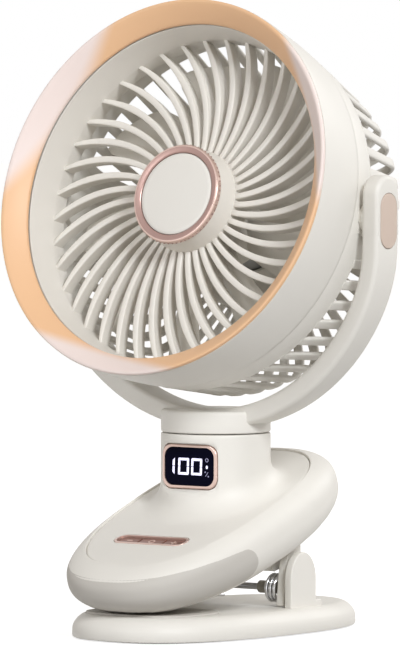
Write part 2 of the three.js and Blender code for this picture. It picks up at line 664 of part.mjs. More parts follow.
function makeDisplay() {
  const front = -DISPLAY.flatY - DISPLAY.proud;
  const back = -DISPLAY.flatY + BEZEL_DEPTH;
  const opening = displayPrism(BEZEL_RIM, front - 1, back + 1);
  const chamfered = displayPrism(0.5, front, back).add(displayPrism(0, front + 0.5, back));
  place(base, "display_bezel", chamfered.subtract(opening), "roseGold");
  const lens = displayPrism(BEZEL_RIM + GAP, front + 0.4, back - 1.2);
  place(base, "display_lens", lens, "darkLens");
  const module = displayPrism(MODULE_INSET, back - 1.2 + GAP, back + 3.4);
  place(base, "display_module", module, "board");
}

function makeKeys() {
  const floor = KEY_LEVEL - KEYS.depth;
  const rim = KEY_LEVEL + KEYS.proud;
  const well = keyStrip(KEYS.wall, floor + KEYS.floor, rim + 1);
  const bezel = keyStrip(0, floor, rim).subtract(well);
  place(base, "button_bezel", moved(bezel, bodyFrame), "roseGold");
  const inset = KEYS.wall + GAP;
  const keyTop = KEY_LEVEL - KEY_SUNK;
  const keyBottom = floor + KEYS.floor + KEY_TRAVEL + GAP;
  const crown = keyStrip(inset + KEY_EDGE, keyBottom, keyTop);
  const blank = keyStrip(inset, keyBottom, keyTop - KEY_EDGE).add(crown);
  const reach = KEYS.length;
  const halfMiddle = KEYS.middle / 2;
  const spans = {
    key_left: [-reach, -halfMiddle - GAP / 2],
    key_middle: [-halfMiddle + GAP / 2, halfMiddle - GAP / 2],
    key_right: [halfMiddle + GAP / 2, reach],
  };
  for (const [name, [from, to]] of Object.entries(spans)) {
    const cut = box(from, to, KEYS.u - KEYS.width, KEYS.u + KEYS.width, keyBottom - 1, keyTop + 1);
    place(base, name, moved(blank.intersect(cut), bodyFrame), "roseGold");
  }
}

// ---------------------------------------------------------------- inside the body
function makeElectrics() {
  const cylinder = (x, radius, length) =>
    solidOf(new THREE.CylinderGeometry(radius, radius, length, SMALL).translate(x, CELL.u, CELL.w));
  SIDES.forEach(([, sign], i) => {
    const x = sign * (CELL.r + CELL.spacing);
    const cell = cylinder(x, CELL.r, CELL.length).add(cylinder(x, CELL.tipR, CELL.length + 2 * CELL.tip));
    place(base, `battery_cell_${i + 1}`, moved(cell, bodyFrame), "cell");
  });
  const { halfWidth, front, rear, thickness, below } = BOARD;
  const low = KEY_LEVEL - KEYS.depth - below;
  const board = box(-halfWidth, halfWidth, KEYS.u - front, KEYS.u + rear, low, low + thickness);
  place(base, "control_board", moved(board, bodyFrame), "board");
}

// ---------------------------------------------------------------- swivel
function makeSwivel() {
  const { outerR, innerR, bottom } = SPINDLE;
  const { wall, flange, flangeThickness, proud } = BUSH;
  const roof = NECK_TOP - NECK_ROOF;
  const bushInner = outerR + GAP;
  const bushOuter = bushInner + wall;
  const flangeTop = NECK_TOP + proud;
  const bush = turned(
    [
      [bushInner, flangeTop],
      [bushOuter + flange, flangeTop],
      [bushOuter + flange, flangeTop - flangeThickness],
      [bushOuter, flangeTop - flangeThickness],
      [bushOuter, roof - GAP],
      [bushInner, roof - GAP],
    ],
    HIDDEN,
  );
  place(base, "swivel_bush", bush, "nylon");
  const spindleTop = COLLAR_TOP - COLLAR_SKIN;
  place(base, "swivel_spindle", ringZ(bottom, spindleTop, outerR, innerR), "steel");
  const ringTop = roof - 2 * GAP;
  const retainer = ringZ(ringTop - RETAINER.thickness, ringTop, outerR + RETAINER.width, bushInner);
  place(base, "swivel_retainer", retainer, "steel");
}

// ---------------------------------------------------------------- fork
/** Rounded-rectangle section of the strap: along the strap's normal and along Y. */
function strapSection(centre, normal, halfThick, halfWide) {
  const r = Math.min(FORK.round, halfWide * 0.9, halfThick * 0.9);
  const corners = [
    [1, 1],
    [-1, 1],
    [-1, -1],
    [1, -1],
  ];
  return corners.flatMap(([sn, sy], quarter) =>
    [quarter, quarter + 1].map((step) => {
      const angle = radians(step * QUARTER_TURN);
      const along = sn * (halfThick - r) + r * Math.cos(angle);
      const across = sy * (halfWide - r) + r * Math.sin(angle);
      return centre.clone().addScaledVector(normal, along).add(new THREE.Vector3(0, across, 0));
    }),
  );
}

function forkStrap() {
  const { thickness, width, above, straight } = FORK;
  const sections = [];
  const add = (centre, normal, share) =>
    sections.push(strapSection(centre, normal, thickness / 2, (width / 2) * share));
  const endSteps = [0.03, 0.25, 0.6, 1];
  const arm = (sign) =>
    endSteps.map((t) => {
      const height = PIVOT_Z + above - (width / 2) * t;
      const share = Math.sqrt(Math.max(0.05, 1 - (1 - t) ** 2));
      return [new THREE.Vector3(sign * ARM_MIDDLE, 0, height), share];
    });
  for (const [centre, share] of arm(1)) add(centre, new THREE.Vector3(1, 0, 0), share);
  const arcSteps = 18;
  for (let i = 0; i <= arcSteps; i++) {
    const angle = radians(lerp(-straight, straight - 2 * QUARTER_TURN, i / arcSteps));
    const normal = new THREE.Vector3(Math.cos(angle), 0, Math.sin(angle));
    add(normal.clone().multiplyScalar(STRAP_R).add(new THREE.Vector3(0, 0, PIVOT_Z)), normal, 1);
  }
  for (const [centre, share] of arm(-1).reverse()) add(centre, new THREE.Vector3(-1, 0, 0), share);
  return lofted(sections);
}

/** A pill-shaped prism along X, on the pivot axis. */
function pill(grow, fromX, toX) {
  const { width, height } = PIVOT_CAP;
  const shape = roundedRectangle(width + 2 * grow, height + 2 * grow, width / 2 + grow - 0.01);
  const blank = slab(shape, Math.abs(toX - fromX), 3);
  blank.rotateX(Math.PI / 2).rotateZ(Math.PI / 2);
  blank.translate(Math.min(fromX, toX), 0, PIVOT_Z + PIVOT_CAP.raised);
  return solidOf(blank);
}

const CAP_FLOOR = ARM_OUTSIDE + PIVOT_CAP.proud - PIVOT_CAP.thickness;
const PIN_HEAD_OUTSIDE = CAP_FLOOR - 2 * GAP;
const PIN_HEAD_INSIDE = PIN_HEAD_OUTSIDE - PIVOT_PIN.headHeight;

function makeFork() {
  const bottom = NECK_TOP + COLLAR_SEAM;
  const collar = turned(
    [
      [0, bottom],
      [NECK_R - 0.8, bottom],
      [NECK_R, bottom + 0.8],
      [NECK_R, COLLAR_TOP - 1],
      [NECK_R - 1, COLLAR_TOP],
      [0, COLLAR_TOP],
    ],
    OUTLINE,
  );
  const spindleHole = rodZ(bottom - 5, COLLAR_TOP - COLLAR_SKIN + GAP, SPINDLE.outerR + GAP);
  let fork = forkStrap().add(collar).subtract(spindleHole);
  for (const [, sign] of SIDES) {
    const span = (fromX, toX, r) => rodX(sign * fromX, sign * toX, r, 0, PIVOT_Z);
    fork = fork
      .add(span(ARM_SEAT, ARM_INSIDE + 2, PIVOT_SEAT.r))
      .subtract(span(ARM_INSIDE - 5, ARM_OUTSIDE + 5, PIVOT_PIN.r + GAP))
      .subtract(span(PIN_HEAD_INSIDE - GAP, ARM_OUTSIDE + 5, PIVOT_PIN.headR + GAP))
      .subtract(pill(GAP, sign * (CAP_FLOOR - GAP), sign * (ARM_OUTSIDE + 5)));
  }
  place(base, "yoke_fork", fork, "shell");

  for (const [side, sign] of SIDES) {
    const outside = ARM_OUTSIDE + PIVOT_CAP.proud;
    const cap = pill(0, sign * CAP_FLOOR, sign * (outside - 0.5)).add(
      pill(-0.5, sign * CAP_FLOOR, sign * outside),
    );
    place(base, `pivot_cap_${side}`, cap, "roseGold");
  }
}

// ---------------------------------------------------------------- tilt pivots, in the head's frame
const BOSS_END = ARM_SEAT - 2 * GAP - PIVOT_WASHER.thickness;
const BOSS_START = SLOT_R - 5;

function makePivots() {
  for (const [side, sign] of SIDES) {
    const pin = rodX(sign * (BOSS_START + 1), sign * PIN_HEAD_OUTSIDE, PIVOT_PIN.r).add(
      rodX(sign * PIN_HEAD_INSIDE, sign * PIN_HEAD_OUTSIDE, PIVOT_PIN.headR),
    );
    place(head, `pivot_pin_${side}`, pin, "steel");
    const from = sign * (BOSS_END + GAP);
    const to = sign * (BOSS_END + GAP + PIVOT_WASHER.thickness);
    const [low, high] = [Math.min(from, to), Math.max(from, to)];
    const washer = tubeX(low, high, PIVOT_WASHER.r, PIVOT_PIN.r + GAP);
    place(head, `pivot_washer_${side}`, washer, "nylon");
  }
}

// ---------------------------------------------------------------- head: outer pieces
function makeRing() {
  const { frontH, thickness } = RING;
  const ring = turned([
    [RING_R, frontH - 0.5],
    [RING_R - 0.5, frontH],
    [RING_BORE_R, RING_BORE_H],
    [DUCT_R, RING_BORE_H - thickness],
    [RING_R, frontH - thickness - 0.6],
  ]);
  place(head, "front_ring", ring, "warmTrim");
}

function makeShroud() {
  const { lipR, lip, middleH, rearH, wall } = SHROUD;
  const middleR = lipR - SHROUD_DRAFT.middle;
  const lipFront = RING.frontH - 0.7;
  const seatH = RING.frontH - RING.thickness - 0.6 - GAP;
  const shroud = turned([
    [lipR - lip, lipFront],
    [lipR - 0.3, lipFront],
    [lipR, lipFront - 0.9],
    [middleR, middleH],
    [SHROUD_REAR_R, rearH],
    [SHROUD_REAR_R - wall, rearH],
    [middleR - wall, middleH],
    [lipR - lip, seatH],
  ]);
  place(head, "front_shroud", shroud, "shell");
}

/** The tapered wall between the front ring and the grille, held between the two. */
function makeDuct() {
  const { wall } = DUCT;
  const frontH = RING_BORE_H - RING.thickness - GAP;
  const duct = turned(
    [
      [DUCT_R, frontH],
      [VANE_TIP_R, RIM_H + GAP],
      [VANE_TIP_R + wall, RIM_H + GAP],
      [DUCT_R + wall, frontH - 0.4],
    ],
    VANES.count,
  );
  place(head, "outlet_duct", duct, "shell");
}

/** Vane centre line: its angle grows outwards, faster towards the tip. */
function vaneAngle(radius) {
  const { sweep, power } = VANES;
  const share = (radius - HUB.rootR) / (VANE_TIP_R - HUB.rootR);
  return radians(sweep) * Math.max(0, share) ** power;
}

/** One deep vane from the root cup to the band, thinner at its rear edge. */
function vane() {
  const { frontH, depth, thickness, sunk } = VANES;
  const rings = [0, 0.4, 0.72, 1].map((share) => {
    const radius = lerp(HUB.rootR - sunk, VANE_TIP_R + sunk, share);
    const angle = vaneAngle(radius);
    const step = 0.5;
    const slope = (vaneAngle(radius + step) - vaneAngle(radius - step)) / (2 * step);
    const heading = angle + Math.atan(radius * slope);
    const centre = new THREE.Vector3(radius * Math.cos(angle), radius * Math.sin(angle), 0);
    const across = new THREE.Vector3(-Math.sin(heading), Math.cos(heading), 0);
    const corner = (side, half, h) => centre.clone().addScaledVector(across, side * half).setZ(h);
    const half = thickness / 2;
    return [
      corner(-1, half, frontH),
      corner(1, half, frontH),
      corner(1, half * 0.7, frontH - depth),
      corner(-1, half * 0.7, frontH - depth),
    ];
  });
  return lofted(rings);
}

/** The vane wheel: vanes between a root cup and a band, whose flange seats in the shroud. */
function makeGrille() {
  const { wall, flange } = DUCT;
  const { count, frontH, depth } = VANES;
  const rootRear = frontH - depth - VANE_RIM;
  const flangeR = SHROUD_REAR_R - SHROUD.wall - GAP;
  const flangeH = SHROUD.rearH + GAP;
  const band = turned(
    [
      [VANE_TIP_R, RIM_H],
      [VANE_TIP_R, flangeH],
      [flangeR, flangeH],
      [flangeR, flangeH + flange],
      [VANE_TIP_R + wall, flangeH + flange],
      [VANE_TIP_R + wall, RIM_H],
    ],
    count,
  );
  const root = turned(
    [
      [0, RIM_H],
      [HUB.rootR, RIM_H],
      [HUB.rearR, rootRear],
      [HUB.rearR - HUB.wall, rootRear],
      [HUB.rootR - HUB.wall, RIM_H - HUB.wall],
      [0, RIM_H - HUB.wall],
    ],
    count,
  );
  const first = vane();
  const vanes = Array.from({ length: count }, (_, i) => moved(first, turnZ((FULL_TURN / count) * i)));
  place(head, "front_grille", joined([band, root, ...vanes]), "shell");
}

/** The cup over the vanes' root, and the trim ring and the disc on its face. */
function makeHub() {
  const { frontR, rootR, frontH, wall } = HUB;
  const shell = turned(
    [
      [0, frontH],
      [frontR, frontH],
      [rootR, RIM_H + GAP],
      [rootR - wall, RIM_H + GAP],
      [frontR - wall, frontH - wall],
      [0, frontH - wall],
    ],
    MIDDLE,
  );
  place(head, "hub_shell", shell, "shell");
  const { outerR, innerR, height } = HUB_RING;
  const bottom = HUB.frontH + GAP;
  const ring = turned(
    [
      [outerR, bottom],
      [outerR, bottom + height - 0.6],
      [outerR - 0.6, bottom + height],
      [innerR, bottom + height - 0.4],
      [innerR, bottom],
    ],
    MIDDLE,
  );
  place(head, "hub_ring", ring, "roseGold");
  const cap = turned(
    [
      [0, bottom],
      [innerR - GAP, bottom],
      [innerR - GAP, bottom + height - 1],
      [innerR - 1.2, bottom + height - 0.5],
      [0, bottom + height - 0.1],
    ],
    MIDDLE,
  );
  place(head, "hub_cap", cap, "shell");
}

// ---------------------------------------------------------------- head: rear guard
/** Stations of the guard wall from its front edge to its middle: [radius, h, open between ribs]. */
function guardStations() {
  const { slotH, sideH } = GUARD;
  const { h, discR, ribSunk } = GUARD_BACK;
  const turn = (degrees) => {
    const angle = radians(degrees);
    const radius = lerp(GUARD_RIM_R, GUARD_SIDE_R, Math.cos(angle));
    return [radius, lerp(sideH, h, Math.sin(angle))];
  };
  return [
    { at: [GUARD_R, SHROUD.rearH - GAP], open: false },
    { at: [SLOT_R, slotH], open: true },
    { at: [GUARD_SIDE_R, sideH], open: true },
    { at: turn(48), open: true },
    { at: turn(QUARTER_TURN), open: true },
    { at: [discR - ribSunk, h], open: true },
  ];
}

/** The wall's inner face at each station, a wall thickness inside the outer one. */
function guardOffset(stations) {
  const points = stations.map(({ at }) => new THREE.Vector2(...at));
  return points.map((point, i) => {
    const before = points[Math.max(0, i - 1)];
    const after = points[Math.min(points.length - 1, i + 1)];
    const along = after.clone().sub(before).normalize();
    const inward = new THREE.Vector2(along.y, -along.x);
    return [point.x + inward.x * GUARD.wall, point.y + inward.y * GUARD.wall];
  });
}

/** Whether the gap after a rib is closed, to back the boss of a pivot at either end of the X axis. */
function atPivot(rib) {
  const halfTurn = RIBS.count / 2;
  const along = (rib + 0.5) % halfTurn;
  return Math.min(along, halfTurn - along) < RIBS.closedAtPivot;
}

/**
 * The guard as one skin: two columns for each rib, one over the rib and one over the gap beside
 * it. Rows between the slots' ends have only the rib columns, apart from the side at the pivots.
 */
function guardShell() {
  const stations = guardStations();
  const outer = stations.map(({ at }) => at);
  const inner = guardOffset(stations);
  const rows = stations.length;
  const columns = RIBS.count * 2;
  const pitch = (Math.PI * 2) / RIBS.count;
  const slotLength = outer[1][1] - GUARD_BACK.h + (GUARD_RIM_R - GUARD_BACK.discR);
  let run = 0;
  const twist = outer.map(([radius, h], row) => {
    if (row > 1) {
      run += Math.hypot(radius - outer[row - 1][0], h - outer[row - 1][1]);
    }
    return (radians(RIBS.twist) * run) / slotLength;
  });
  const point = (skin, row, column) => {
    const [radius, h] = skin[row];
    const rib = Math.floor(column / 2) * pitch;
    const half = RIBS.width / 2 / Math.max(outer[row][0], GUARD_RIM_R);
    const angle = rib + twist[row] + (column % 2 ? half : -half);
    return [radius * Math.cos(angle), radius * Math.sin(angle), h];
  };
  const positions = [];
  for (const skin of [outer, inner])
    for (let row = 0; row < rows; row++)
      for (let column = 0; column < columns; column++) positions.push(...point(skin, row, column));
  const id = (layer, row, column) => (layer * rows + row) * columns + (column % columns);
  const index = [];
  const quad = (a, b, c, d) => index.push(a, b, c, a, c, d);
  const closedGap = (row, column) => row === 1 && atPivot(Math.floor((column % columns) / 2));
  const solidCell = (row, column) =>
    row >= 0 &&
    row < rows - 1 &&
    (column % 2 === 0 || !stations[row].open || closedGap(row, column));
  for (let row = 0; row < rows - 1; row++) {
    for (let column = 0; column < columns; column++) {
      if (!solidCell(row, column)) continue;
      const [n, next] = [row + 1, column + 1];
      quad(id(0, row, column), id(0, row, next), id(0, n, next), id(0, n, column));
      quad(id(1, row, column), id(1, n, column), id(1, n, next), id(1, row, next));
      if (!solidCell(row, column + columns - 1)) {
        quad(id(0, row, column), id(0, n, column), id(1, n, column), id(1, row, column));
      }
      if (!solidCell(row, column + 1)) {
        quad(id(0, row, next), id(1, row, next), id(1, n, next), id(0, n, next));
      }
      if (!solidCell(row - 1, column)) {
        quad(id(0, row, column), id(1, row, column), id(1, row, next), id(0, row, next));
      }
      if (!solidCell(row + 1, column)) {
        quad(id(0, n, column), id(0, n, next), id(1, n, next), id(1, n, column));
      }
    }
  }
  const geometry = new THREE.BufferGeometry();
  geometry.setAttribute("position", new THREE.Float32BufferAttribute(positions, 3));
  geometry.setIndex(index);
  return solidOf(geometry);
}

function makeGuard() {
  const { h: back, discR, discThickness } = GUARD_BACK;
  const cupR = MOTOR.r + GAP;
  const boss = turned(
    [
      [0, back - 0.5],
      [discR - 2, back - 0.5],
      [discR, back + 0.3],
      [discR, back + discThickness],
      [cupR + 1.8, back + discThickness],
      [cupR + 1.8, back + MOTOR_CUP],
      [cupR, back + MOTOR_CUP],
      [cupR, MOTOR.rear - GAP],
      [0, MOTOR.rear - GAP],
    ],
    MIDDLE,
  );
  let guard = guardShell().add(boss);
  for (const [, sign] of SIDES) {
    guard = guard.add(rodX(sign * BOSS_START, sign * BOSS_END, PIVOT_BOSS_R));
    guard = guard.subtract(rodX(sign * (BOSS_START - 4), sign * (BOSS_END + 4), PIVOT_PIN.r + GAP));
  }
  place(head, "rear_guard", guard, "shell");
}

// ---------------------------------------------------------------- head: motor and impeller
function makeMotor() {
  const { r, front, rear, shaftR } = MOTOR;
  const can = turned(
    [
      [0, rear],
      [r, rear],
      [r, front - 1.5],
      [r - 1.5, front],
      [0, front],
    ],
    MIDDLE,
  );
  const socket = front - MOTOR.shaftSunk;
  place(head, "motor_can", can.subtract(rodZ(socket, front + 2, shaftR + GAP, SMALL)), "steel");
  const shaft = rodZ(socket + GAP, IMPELLER.front - IMPELLER.nose, shaftR, SMALL);
  place(head, "motor_shaft", shaft, "steel");
}

/** One pitched blade: a thin twisted plate from the hub to the tip, flatter towards the tip. */
function blade() {
  const { hubR, wall } = IMPELLER;
  const { pitch, washout, chord, thickness, camber, sweep } = BLADE;
  const rings = [0, 0.5, 1].map((station) => {
    const radius = lerp(hubR - wall / 2, BLADE_TIP_R, station);
    const share = (radius - hubR) / (BLADE_TIP_R - hubR);
    const lean = radians(pitch + washout * (1 - 2 * share));
    const length = chord * lerp(0.62, 1, share);
    const corner = (t, side) => {
      const along = t * length;
      const rise = camber * (1 - (2 * t) ** 2) + (side * thickness) / 2;
      const across = along * Math.cos(lean) - rise * Math.sin(lean);
      const axial = along * Math.sin(lean) + rise * Math.cos(lean);
      const angle = across / radius + radians(sweep) * share;
      return new THREE.Vector3(radius * Math.cos(angle), radius * Math.sin(angle), axial);
    };
    const upper = [-0.5, 0, 0.5].map((t) => corner(t, 1));
    return [...upper, ...[0.5, 0, -0.5].map((t) => corner(t, -1))];
  });
  return lofted(rings);
}

function makeImpeller() {
  const { blades, hubR, front, rear, nose, wall } = IMPELLER;
  const coreR = MOTOR.shaftR + 3;
  const hub = turned(
    [
      [0, front],
      [hubR * 0.6, front - 1],
      [hubR, front - 6],
      [hubR, rear],
      [hubR - wall, rear],
      [coreR + 4, front - 4 - wall],
      [coreR, rear + 1],
      [0, rear + 1],
    ],
    HIDDEN,
  );
  const shaftHole = rodZ(rear - 2, front - nose + GAP, MOTOR.shaftR + GAP, SMALL);
  const first = moved(blade(), shift(0, 0, (front + rear) / 2 - 1));
  const all = Array.from({ length: blades }, (_, i) => moved(first, turnZ((FULL_TURN / blades) * i)));
  place(head, "impeller", joined([hub, ...all]).subtract(shaftHole), "nylon");
}

makeLowerJaw();
makeHinge();
makeBodyShell();
makeSocket();
makeTopCover();
makeDisplay();
makeKeys();
makeElectrics();
makeSwivel();
makeFork();
makePivots();
makeRing();
makeShroud();
makeDuct();
makeGrille();
makeHub();
makeGuard();
makeMotor();
makeImpeller();

export default fan;
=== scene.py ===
"""Looks of a clip-on desk fan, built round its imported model. Sizes are in millimetres."""
import logging
import math
from dataclasses import dataclass, field
from enum import Enum
from typing import Any, Callable, Iterable, Sequence

import bmesh
import bpy
import numpy as np
from mathutils import Matrix, Vector


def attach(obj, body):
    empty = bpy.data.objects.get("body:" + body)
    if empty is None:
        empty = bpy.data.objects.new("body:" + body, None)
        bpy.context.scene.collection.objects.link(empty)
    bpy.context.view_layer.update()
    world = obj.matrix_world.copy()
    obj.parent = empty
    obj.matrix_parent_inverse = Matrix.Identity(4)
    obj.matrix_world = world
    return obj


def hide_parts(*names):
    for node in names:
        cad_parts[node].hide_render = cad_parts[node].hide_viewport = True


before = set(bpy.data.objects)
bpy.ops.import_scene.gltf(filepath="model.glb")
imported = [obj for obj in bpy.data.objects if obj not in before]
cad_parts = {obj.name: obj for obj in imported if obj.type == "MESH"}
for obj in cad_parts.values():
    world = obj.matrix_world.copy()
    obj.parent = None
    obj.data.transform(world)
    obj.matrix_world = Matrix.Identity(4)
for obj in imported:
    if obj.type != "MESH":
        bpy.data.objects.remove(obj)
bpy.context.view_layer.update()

log = logging.getLogger("clip_fan")

MM = 0.001
TAU = 2 * math.pi


# ------------------------------------------------------------------ places shared by the classes
# height of the tilt axis, the head's tilt at rest in degrees, the neck's top, and the clamp's hinge axis
PIVOT_Z = 197.0
HEAD_TILT = 17.6
NECK_TOP = 94.0
HINGE_Y, HINGE_Z = 16.5, 20.8
HINGE_BORE_R = 1.9


def placed(x: float, y: float, z: float, turn_x: float) -> np.ndarray:
    """A frame at a point in millimetres, turned about X by degrees."""
    return np.array(Matrix.Translation((x, y, z)) @ Matrix.Rotation(math.radians(turn_x), 4, "X"))


HEAD = placed(0, 0, PIVOT_Z, 90 - HEAD_TILT)  # local +Z is the way the air blows
BODY = placed(0, -9.35, 47.7, 18.5)  # the battery body leans back on the clamp
WORLD = np.eye(4)


class Side(Enum):
    """The two sides of the fan, with the sign of X of each."""

    LEFT = -1
    RIGHT = 1

    @property
    def label(self) -> str:
        """The word that this side's pieces carry in their names."""
        return self.name.lower()

    @property
    def outward(self) -> np.ndarray:
        """The matrix that carries a shape drawn for the right side over to this one."""
        return np.diag([float(self.value), 1, 1, 1])


# ------------------------------------------------------------------ shapes
@dataclass
class Shape:
    """A mesh in millimetres: an array of points, and faces as tuples of their numbers."""

    points: np.ndarray
    faces: list[tuple[int, ...]]

    def moved(self, matrix: np.ndarray) -> "Shape":
        """The shape carried over by a 4 by 4 matrix.

        Args:
            matrix: the matrix; one that mirrors also turns the faces' order round.

        Returns:
            The moved copy.
        """
        carried = self.points @ matrix[:3, :3].T + matrix[:3, 3]
        faces = self.faces
        if np.linalg.det(matrix[:3, :3]) < 0:
            faces = [tuple(reversed(face)) for face in faces]
        return Shape(carried, faces)

    def shifted(self, x: float = 0, y: float = 0, z: float = 0) -> "Shape":
        """The shape moved by a distance."""
        return Shape(self.points + np.array([x, y, z]), self.faces)

    def turned(self, degrees: float, axis: str = "Z") -> "Shape":
        """The shape turned about one of the frame's axes."""
        return self.moved(np.array(Matrix.Rotation(math.radians(degrees), 4, axis)))


def together(shapes: Iterable[Shape]) -> Shape:
    """Several shapes as one, without cutting them against each other.

    Args:
        shapes: the shapes, one after the other.

    Returns:
        One shape with all their points and faces.
    """
    points, faces, start = [], [], 0
    for shape in shapes:
        points.append(shape.points)
        faces += [tuple(i + start for i in face) for face in shape.faces]
        start += len(shape.points)
    return Shape(np.vstack(points), faces)


def lofted(rings: Sequence[np.ndarray], wrap: bool = False, caps: bool = True) -> Shape:
    """Skins rings of equally many points.

    Args:
        rings: arrays of points, each a closed ring.
        wrap: joins the last ring to the first, for a tube that closes on itself.
        caps: closes the first and the last ring with a flat face.

    Returns:
        The skin as one shape, wound so that its faces look out when the rings turn
        anticlockwise about the way from the first ring to the last.
    """
    stack = np.array(rings, float)
    rows, count = stack.shape[:2]
    faces: list[tuple[int, ...]] = []
    for row in range(rows if wrap else rows - 1):
        below, above = row * count, ((row + 1) % rows) * count
        for i in range(count):
            j = (i + 1) % count
            faces.append((below + i, below + j, above + j, above + i))
    if caps and not wrap:
        faces.append(tuple(reversed(range(count))))
        faces.append(tuple(range((rows - 1) * count, rows * count)))
    return Shape(stack.reshape(-1, 3), faces)


def revolved(profile: Sequence[Sequence[float]], segments: int = 128) -> Shape:
    """Turns a closed outline of (radius, height) points about Z; it may touch the axis.

    Args:
        profile: the outline.
        segments: steps in the full turn.

    Returns:
        The ring or disc that it sweeps.
    """
    angles = np.arange(segments) / segments * TAU
    rim = np.stack([np.cos(angles), np.sin(angles), np.zeros(segments)], 1)
    rings = [rim * [r, r, 1] + [0, 0, h] for r, h in profile]
    return lofted(rings, wrap=True)


def sector(profile: Sequence[Sequence[float]], from_deg: float, to_deg: float, steps: int = 16) -> Shape:
    """Turns a closed outline of (radius, height) points about Z, through a part of a turn only.

    Args:
        profile: the outline.
        from_deg: where the turn begins.
        to_deg: where it ends.
        steps: steps in between.

    Returns:
        The part of a ring, with flat ends.
    """
    rings = []
    for degrees in np.linspace(from_deg, to_deg, steps + 1):
        c, s = math.cos(math.radians(degrees)), math.sin(math.radians(degrees))
        rings.append([[r * c, r * s, h] for r, h in profile])
    return lofted(rings)


def filleted(outline: Sequence[Sequence[float]], radii: float | Sequence[float], steps: int = 5,
             closed: bool = True) -> list[list[float]]:
    """Rounds the corners of a flat outline.

    Args:
        outline: corner points in order.
        radii: one radius for all corners, or one for each, 0 for a sharp one.
        steps: steps in each round corner.
        closed: whether the last corner is joined to the first.

    Returns:
        The outline with an arc in the place of each rounded corner.
    """
    corners = [np.array(p, float) for p in outline]
    if isinstance(radii, (int, float)):
        radii = [radii] * len(corners)
    made: list[list[float]] = []
    for i, (corner, radius) in enumerate(zip(corners, radii)):
        ends = not closed and i in (0, len(corners) - 1)
        if radius <= 0 or ends:
            made.append(list(corner))
            continue
        back = corners[i - 1] - corner
        ahead = corners[(i + 1) % len(corners)] - corner
        room = min(np.linalg.norm(back), np.linalg.norm(ahead)) * 0.49
        back, ahead = back / np.linalg.norm(back), ahead / np.linalg.norm(ahead)
        half = math.acos(float(np.clip(back @ ahead, -1, 1))) / 2
        if half > math.radians(89):
            made.append(list(corner))
            continue
        reach = min(radius / math.tan(half), room)
        size = reach * math.tan(half)
        middle = corner + (back + ahead) / np.linalg.norm(back + ahead) * size / math.sin(half)
        start = corner + back * reach - middle
        end = corner + ahead * reach - middle
        whole = math.atan2(start[0] * end[1] - start[1] * end[0], float(start @ end))
        for step in range(steps + 1):
            turn = whole * step / steps
            c, s = math.cos(turn), math.sin(turn)
            made.append(list(middle + [c * start[0] - s * start[1], s * start[0] + c * start[1]]))
    return made


def rounded_rectangle(width: float, height: float, corner: float, steps: int = 8) -> np.ndarray:
    """A rectangle with round corners about the origin, anticlockwise."""
    x, y = width / 2, height / 2
    return np.array(filleted([(x, -y), (x, y), (-x, y), (-x, -y)], corner, steps))


def ellipse(half_x: float, half_y: float, power: float = 2, count: int = 128) -> np.ndarray:
    """A superellipse about the origin, anticlockwise.

    Args:
        half_x: half its width.
        half_y: half its depth.
        power: 2 for an ellipse, more for a squarer outline.
        count: number of points.

    Returns:
        The points, from the one on +X on.
    """
    angles = np.arange(count) / count * TAU
    c, s = np.cos(angles), np.sin(angles)
    x = half_x * np.sign(c) * np.abs(c) ** (2 / power)
    return np.stack([x, half_y * np.sign(s) * np.abs(s) ** (2 / power)], 1)


def drawn_in(outline: np.ndarray, distance: float) -> np.ndarray:
    """An anticlockwise outline moved inwards along the normals at its points.

    Args:
        outline: the points.
        distance: how far inwards, negative for outwards.

    Returns:
        As many points.
    """
    after, before = np.roll(outline, -1, 0), np.roll(outline, 1, 0)
    a = (outline - before) / np.maximum(np.linalg.norm(outline - before, axis=1), 1e-9)[:, None]
    b = (after - outline) / np.maximum(np.linalg.norm(after - outline, axis=1), 1e-9)[:, None]
    along = a + b
    along /= np.maximum(np.linalg.norm(along, axis=1), 1e-9)[:, None]
    return outline + np.stack([-along[:, 1], along[:, 0]], 1) * distance


def slab(outline: np.ndarray, low: float, high: float, edge: float = 0, edge_low: float | None = None,
         steps: int = 5) -> Shape:
    """A flat outline in XY given thickness along Z, with rounded rims.

    Args:
        outline: anticlockwise points.
        low: height of the lower face.
        high: height of the upper face.
        edge: radius of the upper rim.
        edge_low: radius of the lower rim, the same as the upper one if left out.
        steps: steps in each rim.

    Returns:
        The closed slab.
    """
    edge_low = edge if edge_low is None else edge_low
    rings = []

    def ring(inset: float, height: float) -> None:
        """Adds the outline, drawn in, at a height."""
        flat = drawn_in(outline, inset) if inset else outline
        rings.append(np.column_stack([flat, np.full(len(flat), height)]))

    for step in range(steps + 1) if edge_low else []:
        turn = math.pi / 2 * step / steps
        ring(edge_low * (1 - math.sin(turn)), low + edge_low * (1 - math.cos(turn)))
    if not edge_low:
        ring(0, low)
    for step in range(steps + 1) if edge else []:
        turn = math.pi / 2 * step / steps
        ring(edge * (1 - math.cos(turn)), high - edge * (1 - math.sin(turn)))
    if not edge:
        ring(0, high)
    return lofted(rings)


# ways to lay down a shape that is drawn in XY along Z: its Z becomes X, Y or -Y
ALONG_X = np.array([[0, 0, 1, 0], [1, 0, 0, 0], [0, 1, 0, 0], [0, 0, 0, 1]], float)
ALONG_Y = np.array([[-1, 0, 0, 0], [0, 0, 1, 0], [0, 1, 0, 0], [0, 0, 0, 1]], float)
FACING_FRONT = np.array([[1, 0, 0, 0], [0, 0, -1, 0], [0, 1, 0, 0], [0, 0, 0, 1]], float)


def rod(radius: float, low: float, high: float, edge: float = 0, count: int = 48) -> Shape:
    """A round rod along Z with rounded rims."""
    return slab(ellipse(radius, radius, count=count), low, high, edge)


